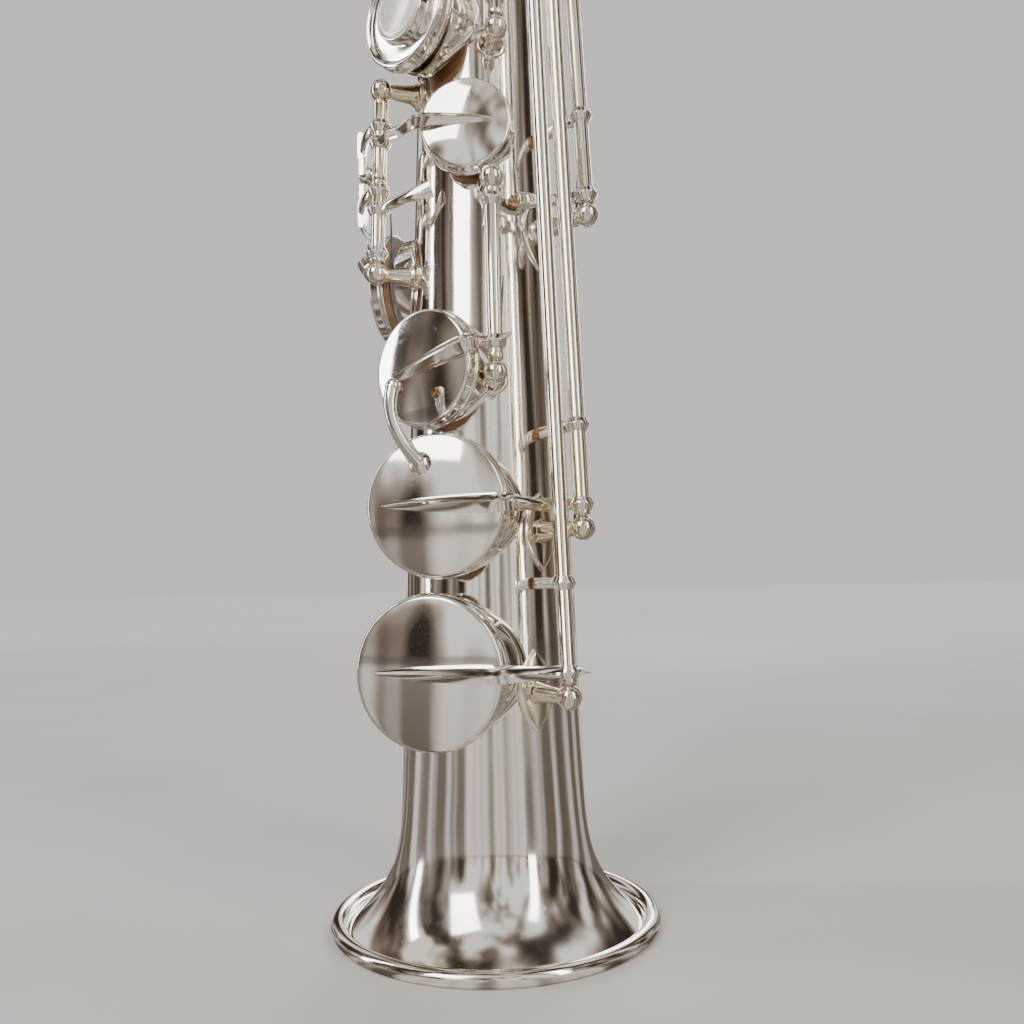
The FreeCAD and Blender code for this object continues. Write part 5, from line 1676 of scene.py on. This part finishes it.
@dataclass
class LittleFingerTable:
    """Left little finger's table: three long keys, their plates, stops and links, and the G sharp key."""

    maker: KeyMaker
    plate_heights: dict[str, float] = field(
        default_factory=lambda: {"low_b_flat": 337.0, "low_b": 351.0, "low_c_sharp_lever": 365.0}
    )
    plate_half: float = 5.9
    plate_reach: float = 17.0
    plate_rise: float = 5.2
    plate_turn_share: float = 0.85
    low_b_flat_stop_z: float = 95.0
    low_b_stop_z: float = 136.0
    lever_stop_z: float = 222.0
    stop_shift: float = 3.0
    lever_stop_shift: float = 4.0
    lever_tube_top: float = 372.6
    g_sharp_place: tuple[float, float, float] = (55.0, 20.0, 383.0)
    g_sharp_half: tuple[float, float] = (5.0, 8.5)
    g_sharp_bend: tuple[float, float, float] = (66.0, 21.5, 403.0)
    g_sharp_arm_z: float = 405.0
    link_z: float = 197.5
    link_height: float = 7.6
    link_turn: float = 69.0
    felt: float = 1.2

    def plate(self, name: str) -> Blank:
        """Plate of the table and the arm that carries it.

        Args:
            name: name of its hinge.

        Returns:
            The plate.
        """
        blank = Blank()
        z = self.plate_heights[name]
        first = HINGES["low_b_flat"]
        pivot, inner = HINGES[name].at(z), first.at(z)
        turn = first.low[0] + (first.high[0] - first.low[0]) * self.plate_turn_share
        out, back = outward(turn), along(turn) * -1
        near = inner + out * self.plate_rise + back * 2.0
        far = inner + out * (self.plate_rise - 2.6) + back * (self.plate_reach + 2.0)
        path = bent(near, (near + far) * 0.5 + out * 0.7, far, 5)
        shares = (0.55, 0.95, 1.0, 0.95, 0.5)
        blank.limb([(p, self.plate_half * w, TOUCH_HALF) for p, w in zip(path, shares)], UP, Section.STRAP)
        crest = pivot + out * (self.plate_rise + 1.8) + back * 0.4
        arm = bent(pivot + out * 0.6, crest, near + back * 3.0 - out * 0.1, 5)
        blank.limb([(p, 1.7, 1.0) for p in arm], UP)
        return blank.add(self.maker.collar(HINGES[name], z))

    def finger(self) -> tuple[Blank, Blank]:
        """Curved finger of the low B key that holds the low C sharp cup shut, and its felt.

        Returns:
            The finger and the felt, with the key closed.
        """
        key, target = KEY["low_b"], KEY["low_c_sharp"]
        metal, felt = Blank(), Blank()
        start = UP * (key.z + 10.5) + outward(key.turn) * (key.top() + 0.6) + along(key.turn) * -3.5
        crown = target.top() + target.dome()
        tip = UP * (target.z - 7.5) + outward(target.turn) * (crown + 0.3 + self.felt + 1.6)
        tip = tip + along(target.turn) * -4.5
        crook = (start + tip) * 0.5 + outward(target.turn - 12.0) * 2.2 + along(key.turn) * -5.0
        path = bent(start, crook, tip, 6)
        widths = (2.2, 1.7, 1.6, 1.6, 1.8, 1.9)
        metal.limb([(p, w, w * 0.9) for p, w in zip(path, widths)], along(key.turn))
        boss = eased([(0, 1.9), (1.6, 1.7), (2.5, 0.9), (3.1, 0.2), (3.4, -0.7), (0, -0.7)], 0.4)
        metal.turned(boss[::-1], Matrix.Translation(start) @ aimed(Vector(), outward(key.turn)), 36)
        knob = eased([(0, 1.7), (1.4, 1.4), (2.1, 0.5), (2.1, -0.6), (1.8, -1.3), (0, -1.7)], 0.5)
        metal.turned(knob[::-1], Matrix.Translation(tip) @ aimed(Vector(), outward(target.turn)), 32)
        base = tip - outward(target.turn) * 1.7
        felt.bar(base, base - outward(target.turn) * self.felt, 1.7)
        return metal, felt

    def link(self) -> tuple[Blank, Blank, Blank]:
        """Tail of the low C sharp key, the lever's arm over it, and the cork between them.

        Returns:
            The tail, the arm and the cork.
        """
        tail, arm, cork = Blank(), Blank(), Blank()
        z, height = self.link_z, self.link_height - 2.4
        hinge, lever = HINGES["low_c_sharp"], HINGES["low_c_sharp_lever"]
        bend = TAPER.spot(self.link_turn - 6.0, height + 0.8, z)
        near, far = TAPER.spot(self.link_turn - 2.0, height, z), TAPER.spot(self.link_turn + 5.0, height, z)
        tail.limb([(hinge.at(z), 1.7, 1.3), (bend, 1.7, 1.1), (near, 2.2, 0.9), (far, 2.0, 0.8)], UP,
                  Section.STRAP)
        tail.add(self.maker.collar(hinge, z))
        tip = TAPER.spot(self.link_turn, self.link_height + self.maker.cork, z + 0.5)
        low = TAPER.spot(89.0, self.link_height + 1.6, z + 1.5)
        path = bent(lever.at(z + 2.0), low, tip, 5)
        widths = (1.6, 1.6, 1.7, 1.9, 2.2)
        arm.limb([(p, w, 1.1) for p, w in zip(path, widths)], UP, Section.STRAP)
        arm.add(self.maker.collar(lever, z + 2.0))
        down = outward(self.link_turn) * -1
        base = tip + down * 1.0
        top = base + down * (self.maker.cork - self.maker.cork_gap)
        cork.limb([(base, 1.6, 1.6), (top, 1.6, 1.6)], UP, Section.STRAP)
        return tail, arm, cork

    def build(self) -> None:
        """Makes the table's keys."""
        maker = self.maker
        stop, cork = maker.stop(HINGES["low_b_flat"], self.low_b_flat_stop_z, self.stop_shift)
        maker.fitted(KEY["low_b_flat"], stop.add(self.plate("low_b_flat")))
        cork.piece("low_b_flat_stop_cork", CORK, "low_b_flat_body", ("low_b_flat_cork",))
        key = KEY["low_b"]
        stop, cork = maker.stop(HINGES["low_b"], self.low_b_stop_z, self.stop_shift)
        finger, felt = self.finger()
        maker.fitted(key, stop.add(self.plate("low_b")).add(finger.moved(key.rest())))
        cork.add(felt.moved(key.rest())).piece("low_b_stop_corks", CORK, "low_b_body", ("low_b_corks",))
        tail, arm, cork = self.link()
        maker.fitted(KEY["low_c_sharp"], tail)
        lever = HINGES["low_c_sharp_lever"]
        stop, stop_cork = maker.stop(lever, self.lever_stop_z, self.lever_stop_shift)
        arm.add(stop).add(self.plate("low_c_sharp_lever"))
        arm.piece("low_c_sharp_lever_arms", KEY_SILVER, "low_c_sharp_lever_body", ("low_c_sharp_lever",))
        tube = maker.tube(lever, self.link_z - 0.1, self.lever_tube_top)
        tube.piece("low_c_sharp_lever_tube", ROD_SILVER, "low_c_sharp_lever_body")
        cork.add(stop_cork).piece("low_c_sharp_link_corks", CORK, "low_c_sharp_lever_body",
                                  ("low_c_sharp_corks",))
        maker.fitted(KEY["g_sharp"], self.g_sharp_touch())

    def g_sharp_touch(self) -> Blank:
        """Touch of the G sharp key, above the table's plates."""
        blank = Blank()
        turn, hinge = self.g_sharp_place[0], HINGES["g_sharp"]
        centre, out = TAPER.spot(*self.g_sharp_place), outward(turn)
        half_width, half_length = self.g_sharp_half
        reach = along(turn) * half_length
        path = bent(centre + reach, centre + out * 0.8, centre - reach, 5)
        shares = (0.6, 0.95, 1.0, 0.95, 0.5)
        blank.limb([(p, half_width * w, TOUCH_HALF) for p, w in zip(path, shares)], UP, Section.STRAP)
        under = centre + UP * 2.5 + out * 0.2
        arm = bent(hinge.at(self.g_sharp_arm_z), TAPER.spot(*self.g_sharp_bend), under, 6)
        blank.limb([(p, 1.1, 1.6) for p in arm], outward(self.g_sharp_bend[0]))
        return blank.add(self.maker.collar(hinge, self.g_sharp_arm_z))


@dataclass
class RightLittleFinger:
    """Low C and E flat keys, with their touches and rollers."""

    maker: KeyMaker
    roller_radius: float = 2.2
    roller_length: float = 12.0
    pin_radius: float = 0.7
    roller_gap: float = 0.6
    turn: float = -52.0
    off: float = 16.0
    split_z: float = 217.5
    half: float = 5.0
    ear: float = 1.1
    ear_gap: float = 0.25
    hinge_turn: float = -22.0
    low_c_arm_z: float = 209.0
    low_c_stop_z: float = 203.5

    def axis(self, which: int) -> tuple[Vector, Vector]:
        """Ends of a roller's axis.

        Args:
            which: 1 for the upper touch, -1 for the lower.

        Returns:
            The two ends.
        """
        middle = TAPER.spot(self.turn, self.off, self.split_z)
        middle.z = self.split_z + which * (self.roller_radius + self.roller_gap / 2)
        way = along(self.turn) * (self.roller_length / 2)
        return middle - way, middle + way

    def roller(self, which: int) -> Blank:
        """Barrel-shaped roller with eased ends.

        Args:
            which: 1 for the upper touch, -1 for the lower.

        Returns:
            The roller.
        """
        blank = Blank()
        start, end = self.axis(which)
        r, length = self.roller_radius, self.roller_length
        profile = eased([(0.75, 0), (r - 0.25, 0), (r - 0.1, 0.8), (r, length / 2), (r - 0.1, length - 0.8),
                         (r - 0.25, length), (0.75, length)], 0.4)
        blank.turned(profile, aimed(start, end), 32, ring=True)
        return blank

    def touch(self, which: int) -> Blank:
        """Touch plate with the ears and pin of its roller.

        Args:
            which: 1 for the upper touch, -1 for the lower.

        Returns:
            The touch.
        """
        blank = Blank()
        start, end = self.axis(which)
        way, out = along(self.turn), outward(self.turn)
        z = start.z + which * (self.roller_radius + 0.8 + self.half)
        low, high = start - way * (self.ear_gap + self.ear), end + way * (self.ear_gap + self.ear)
        lift = UP * (z - start.z) + out * 0.3
        crown = (0.0, 0.3, 0.4, 0.3, 0.0)
        shares = (0.86, 1.0, 1.0, 1.0, 0.86)
        path = [low * (1 - k / 4) + high * (k / 4) + lift + out * crown[k] for k in range(5)]
        blank.limb([(p, self.half * w, TOUCH_HALF) for p, w in zip(path, shares)], UP, Section.STRAP)
        for point, sign in ((start, -1), (end, 1)):
            middle = point + way * (sign * (self.ear_gap + self.ear / 2))
            ends = [middle - UP * which, middle + UP * (which * 4.6)]
            blank.limb([(p, self.ear / 2, 1.3) for p in ends], way, Section.STRAP)
        blank.bar(low + way * 0.3, high - way * 0.3, self.pin_radius, 0.1, 16)
        return blank

    def touch_arm(self, which: int, z: float) -> Blank:
        """Arm from the hinge tube to a touch.

        Args:
            which: 1 for the upper touch, -1 for the lower.
            z: where it leaves the tube.

        Returns:
            The arm.
        """
        blank = Blank()
        hinge = HINGES["right_little_finger"]
        pivot = hinge.at(z)
        touch_z = self.split_z + which * (2 * self.roller_radius + self.half)
        target = TAPER.spot(self.turn, self.off + 0.6, touch_z) + along(self.turn) * 5.5
        crest = pivot + outward(self.hinge_turn - 8.0) * 4.5 + along(self.hinge_turn) * -2.0
        start = pivot + outward(self.hinge_turn) * 0.4
        blank.limb([(p, 1.7, 1.0) for p in bent(start, crest, target, 5)], UP)
        return blank.add(self.maker.collar(hinge, z))

    def low_c_stop(self) -> Blank:
        """Curved foot of the low C key over the front of the body.

        Returns:
            The foot.
        """
        blank = Blank()
        hinge, z = HINGES["right_little_finger"], self.low_c_stop_z
        tip = TAPER.spot(13.0, 1.1 + self.maker.cork_gap + self.maker.cork, z + 2.5)
        path = bent(hinge.at(z), TAPER.spot(-4.0, 10.0, z - 1.0), tip, 6)
        widths = (1.7, 1.6, 1.6, 1.7, 2.2, 2.8)
        blank.limb([(p, w, 1.0) for p, w in zip(path, widths)], UP)
        return blank.add(self.maker.collar(hinge, z))

    def e_flat_metal(self) -> Blank:
        """E flat cup with the long arm that curves round the body to the hinge.

        Returns:
            The metal.
        """
        key = KEY["e_flat"]
        blank = self.maker.cup(key)
        r, top, z = key.radius, key.top(), key.z
        out, way = outward(key.turn), along(key.turn)
        clear = top - TAPER.radius(z) + 1.4
        pivot = key.line().at(z + key.arm_rise)
        stations = [
            (out * (top + 0.55) + way * (0.72 * r) + UP * (z - 0.7), 0.15, 0.15),
            (out * (top + 1.0) + way * (0.3 * r) + UP * (z - 0.2), 1.1, 0.9),
            (out * (top + 1.2) + way * (-0.3 * r) + UP * (z + 0.3), 1.7, 1.5),
            (out * (top + 1.0) + way * (-0.95 * r) + UP * (z + 0.8), 2.0, 1.7),
            (TAPER.spot(2.0, clear + 0.6, z + 1.6), 1.8, 1.5),
            (TAPER.spot(-10.0, clear + 1.6, z + 2.4), 1.7, 1.5),
            (pivot + outward(self.hinge_turn) * 0.6, 1.7, 1.6),
        ]
        blank.limb(stations, UP, Section.RIDGE)
        return blank.add(self.maker.collar(key.line(), z + key.arm_rise))

    def build(self) -> None:
        """Makes both keys and their rollers."""
        maker = self.maker
        extra = self.touch(-1).add(self.touch_arm(-1, self.low_c_arm_z)).add(self.low_c_stop())
        maker.fitted(KEY["low_c"], extra)
        e_flat = KEY["e_flat"]
        touch_z = self.split_z + 2 * self.roller_radius + self.half
        metal = self.e_flat_metal().add(self.touch(1)).add(self.touch_arm(1, touch_z + 1.5))
        metal.piece("e_flat_cup", KEY_SILVER, "e_flat_body", ("e_flat_key",), crease=42)
        maker.tube(e_flat.line(), *e_flat.tube).piece("e_flat_tube", ROD_SILVER, "e_flat_body")
        pad = maker.pad(e_flat).piece("e_flat_leather", LEATHER, "e_flat_body", ("e_flat_pad",), crease=80)
        maker.rivet(e_flat).piece("e_flat_rivet", STEEL, "e_flat_body")
        self.roller(-1).piece("low_c_roller_barrel", KEY_SILVER, "low_c_roller_body", ("low_c_roller",))
        self.roller(1).piece("e_flat_roller_barrel", KEY_SILVER, "e_flat_roller_body", ("e_flat_roller",))


@dataclass
class OctaveKeys:
    """Thumb lever and the long octave key, on the back."""

    maker: KeyMaker
    vent_turn: float = -128.0
    vent_height: float = 4.5
    gap: float = 0.35
    lever_vent_z: float = 432.0
    lever_tube: tuple[float, float] = (428.4, 454.6)
    lever_arm_z: float = 451.0
    long_vent_z: float = 592.0
    long_tube: tuple[float, float] = (468.4, 596.6)
    tail_z: float = 471.0

    def cap(self, name: str, z: float, low: float, high: float) -> Blank:
        """Small cap over a vent, with its arm, collar and hinge tube.

        Args:
            name: name of the hinge.
            z: height of the vent.
            low: lower end of the tube.
            high: upper end of the tube.

        Returns:
            The metal.
        """
        blank = Blank()
        turn, hinge = self.vent_turn, HINGES[name]
        top = TAPER.radius(z) + self.vent_height + self.gap
        profile = eased([(0, 1.2), (2.6, 1.2), (2.6, 0.0), (3.3, 0.0), (3.3, 2.2), (2.4, 2.9), (0, 3.0)], 0.3)
        blank.turned(profile, standing(turn, z, top), 40)
        start, pivot = outward(turn) * (top + 2.7) + UP * z, hinge.at(z)
        crest = (start + pivot) * 0.5 + outward((turn + hinge.low[0] - 360) / 2) * 2.6
        blank.limb([(p, 1.2, 0.8) for p in bent(start, crest, pivot, 5)], UP)
        return blank.add(self.maker.collar(hinge, z, 2.6)).add(self.maker.tube(hinge, low, high))

    def build(self) -> None:
        """Makes both keys."""
        lever, long_key = HINGES["octave_lever"], HINGES["octave_key"]
        start, end = TAPER.spot(188.0, 9.0, 452.0), TAPER.spot(160.0, 8.4, 457.0)
        metal = self.cap("octave_lever", self.lever_vent_z, *self.lever_tube)
        widths = (4.6, 6.0, 6.4, 6.0, 3.6)
        path = bent(start, TAPER.spot(174.0, 9.6, 454.5), end, 5)
        metal.limb([(p, w, TOUCH_HALF) for p, w in zip(path, widths)], UP, Section.STRAP)
        arm = bent(lever.at(self.lever_arm_z), TAPER.spot(199.0, 10.4, self.lever_arm_z), start, 4)
        metal.limb([(p, 1.6, 1.0) for p in arm], UP)
        metal.add(self.maker.collar(lever, self.lever_arm_z))
        metal.piece("thumb_octave_lever", KEY_SILVER, "octave_lever_body", ("octave_lever",))
        metal = self.cap("octave_key", self.long_vent_z, *self.long_tube)
        bend, tip = TAPER.spot(194.0, 8.4, self.tail_z - 1.0), TAPER.spot(176.0, 6.0, self.tail_z - 2.5)
        tail = bent(long_key.at(self.tail_z), bend, tip, 5)
        metal.limb([(p, 1.5, 0.9) for p in tail], UP)
        metal.add(self.maker.collar(long_key, self.tail_z))
        metal.piece("neck_octave_key", KEY_SILVER, "octave_key_body", ("octave_key",))


@dataclass
class SmallFittings:
    """Frame nodes whose shape is kept: they get eased edges and their finish."""

    finishes: dict[str, Finish] = field(
        default_factory=lambda: {
            "thumb_hook": KEY_SILVER, "thumb_rest": KEY_SILVER, "strap_ring": KEY_SILVER, "tenon_cork": CORK,
            "mouthpiece": RUBBER, "reed": CANE, "ligature": KEY_SILVER, "ligature_screw_lower": KEY_SILVER,
            "ligature_screw_upper": KEY_SILVER,
        }
    )
    easing: float = 0.18
    crease: float = 35.0
    eased_from: float = 40.0

    def build(self) -> None:
        """Dresses every kept node."""
        for name, finish in self.finishes.items():
            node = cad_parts[name]
            node.data.materials.clear()
            node.data.materials.append(finish.material())
            node.data.polygons.foreach_set("use_smooth", [True] * len(node.data.polygons))
            node.data.set_sharp_from_angle(angle=math.radians(self.crease))
            bevel = node.modifiers.new("eased_edges", "BEVEL")
            bevel.width = self.easing * MM
            bevel.segments = 2
            bevel.limit_method = "ANGLE"
            bevel.angle_limit = math.radians(self.eased_from)
            log.info("%s: kept and dressed", name)


# ------------------------------------------------------------ studio


@dataclass
class Studio:
    """Floor, soft light and camera."""

    camera_place: tuple[float, float, float] = (0.2101, -0.1663, 0.0958)
    camera_turn: float = 50.2
    camera_tilt: float = 4.28
    camera_roll: float = -1.14
    lens: float = 32.2
    floor_size: float = 9.0

    def floor(self) -> None:
        """Round pale floor, a little below the bead's flat."""
        blank = Blank()
        radius = self.floor_size / MM
        blank.turned([(0.0, 0.0), (radius * 0.25, 0.0), (radius, 0.0), (radius, -20.0), (0.0, -20.0)],
                     Matrix.Identity(4), 96)
        mesh = bpy.data.meshes.new("studio_floor")
        mesh.from_pydata([point * MM for point in blank.points], [], blank.faces)
        mesh.materials.append(StudioPaper("studio_paper", "").material())
        floor = bpy.data.objects.new("studio_floor", mesh)
        bpy.context.scene.collection.objects.link(floor)

    def lamp(self, name: str, place: Vector, aim: Vector, size: tuple[float, float], watts: float,
             warmth: float) -> None:
        """Soft box.

        Args:
            name: its name.
            place: where it stands.
            aim: what it points at.
            size: its width and height.
            watts: its power.
            warmth: 0 for white, more for warmer light.
        """
        data = bpy.data.lights.new(name, "AREA")
        data.shape = "RECTANGLE"
        data.size, data.size_y = size
        data.energy = watts
        data.color = (1.0, 1.0 - 0.12 * warmth, 1.0 - 0.3 * warmth)
        lamp = bpy.data.objects.new(name, data)
        lamp.location = place
        lamp.rotation_euler = (aim - place).to_track_quat("-Z", "Y").to_euler()
        bpy.context.scene.collection.objects.link(lamp)

    def sky(self) -> None:
        """Soft surroundings: even and pale to the camera, with bright and dark stretches in reflections."""
        world = bpy.data.worlds.new("studio")
        bpy.context.scene.world = world
        world.use_nodes = True
        nodes, links = world.node_tree.nodes, world.node_tree.links
        nodes.clear()
        place = nodes.new("ShaderNodeTexCoord").outputs["Generated"]
        stretch = nodes.new("ShaderNodeMapping")
        stretch.inputs["Scale"].default_value = (1.0, 1.0, 0.3)
        links.new(place, stretch.inputs["Vector"])
        noise = nodes.new("ShaderNodeTexNoise")
        noise.inputs["Scale"].default_value = STREAKS
        noise.inputs["Detail"].default_value = 2.0
        links.new(stretch.outputs[0], noise.inputs["Vector"])
        bands = nodes.new("ShaderNodeValToRGB")
        stops = ((0.40, (0.035, 0.027, 0.020, 1)), (0.485, (0.17, 0.135, 0.105, 1)),
                 (0.54, (0.42, 0.36, 0.30, 1)),
                 (0.60, (1.0, 0.97, 0.92, 1)))
        for k, (position, colour) in enumerate(stops):
            stop = bands.color_ramp.elements[k] if k < 2 else bands.color_ramp.elements.new(position)
            stop.position, stop.color = position, colour
        links.new(noise.outputs["Fac"], bands.inputs["Fac"])
        room, plain = nodes.new("ShaderNodeBackground"), nodes.new("ShaderNodeBackground")
        links.new(bands.outputs["Color"], room.inputs["Color"])
        room.inputs["Strength"].default_value = 1.0
        plain.inputs["Color"].default_value = (0.74, 0.72, 0.69, 1)
        plain.inputs["Strength"].default_value = 1.0
        mixer, path = nodes.new("ShaderNodeMixShader"), nodes.new("ShaderNodeLightPath")
        links.new(path.outputs["Is Camera Ray"], mixer.inputs[0])
        links.new(room.outputs[0], mixer.inputs[1])
        links.new(plain.outputs[0], mixer.inputs[2])
        links.new(mixer.outputs[0], nodes.new("ShaderNodeOutputWorld").inputs["Surface"])

    def camera(self) -> None:
        """Camera low in front of the player's left."""
        data = bpy.data.cameras.new("camera")
        data.lens = self.lens
        data.clip_start = 0.01
        camera = bpy.data.objects.new("camera", data)
        tilt = math.radians(90 + self.camera_tilt)
        turn = Matrix.Rotation(math.radians(self.camera_turn), 4, "Z") @ Matrix.Rotation(tilt, 4, "X")
        turn = turn @ Matrix.Rotation(math.radians(self.camera_roll), 4, "Z")
        camera.matrix_world = Matrix.Translation(Vector(self.camera_place)) @ turn
        bpy.context.scene.collection.objects.link(camera)
        bpy.context.scene.camera = camera

    def build(self) -> None:
        """Sets up the studio."""
        self.floor()
        self.sky()
        heart = Vector((0.0, 0.0, 0.25))
        self.lamp("key_light", Vector((0.35, -1.3, 1.1)), heart, (0.7, 1.0), 13.0, 0.1)
        self.lamp("left_strip", Vector((-0.9, -1.0, 0.5)), heart, (0.16, 1.5), 7.0, 0.0)
        self.lamp("side_strip", Vector((1.4, 0.1, 0.6)), heart, (0.22, 1.4), 7.0, 0.5)
        self.lamp("back_light", Vector((-0.9, 1.1, 0.9)), heart, (0.8, 0.8), 9.0, 0.0)
        self.camera()


def main() -> None:
    """Builds the saxophone's pieces and its studio."""
    maker = KeyMaker()
    Horn().build()
    Posts().build()
    LittleFingerTable(maker).build()
    RightLittleFinger(maker).build()
    for name in STACK_KEYS:
        maker.fitted(KEY[name])
    for name, touch in FAR_TOUCHES.items():
        maker.fitted(KEY[name], maker.far_touch(KEY[name], *touch))
    OctaveKeys(maker).build()
    SmallFittings().build()
    Studio().build()


if __name__ == "__main__":
    main()
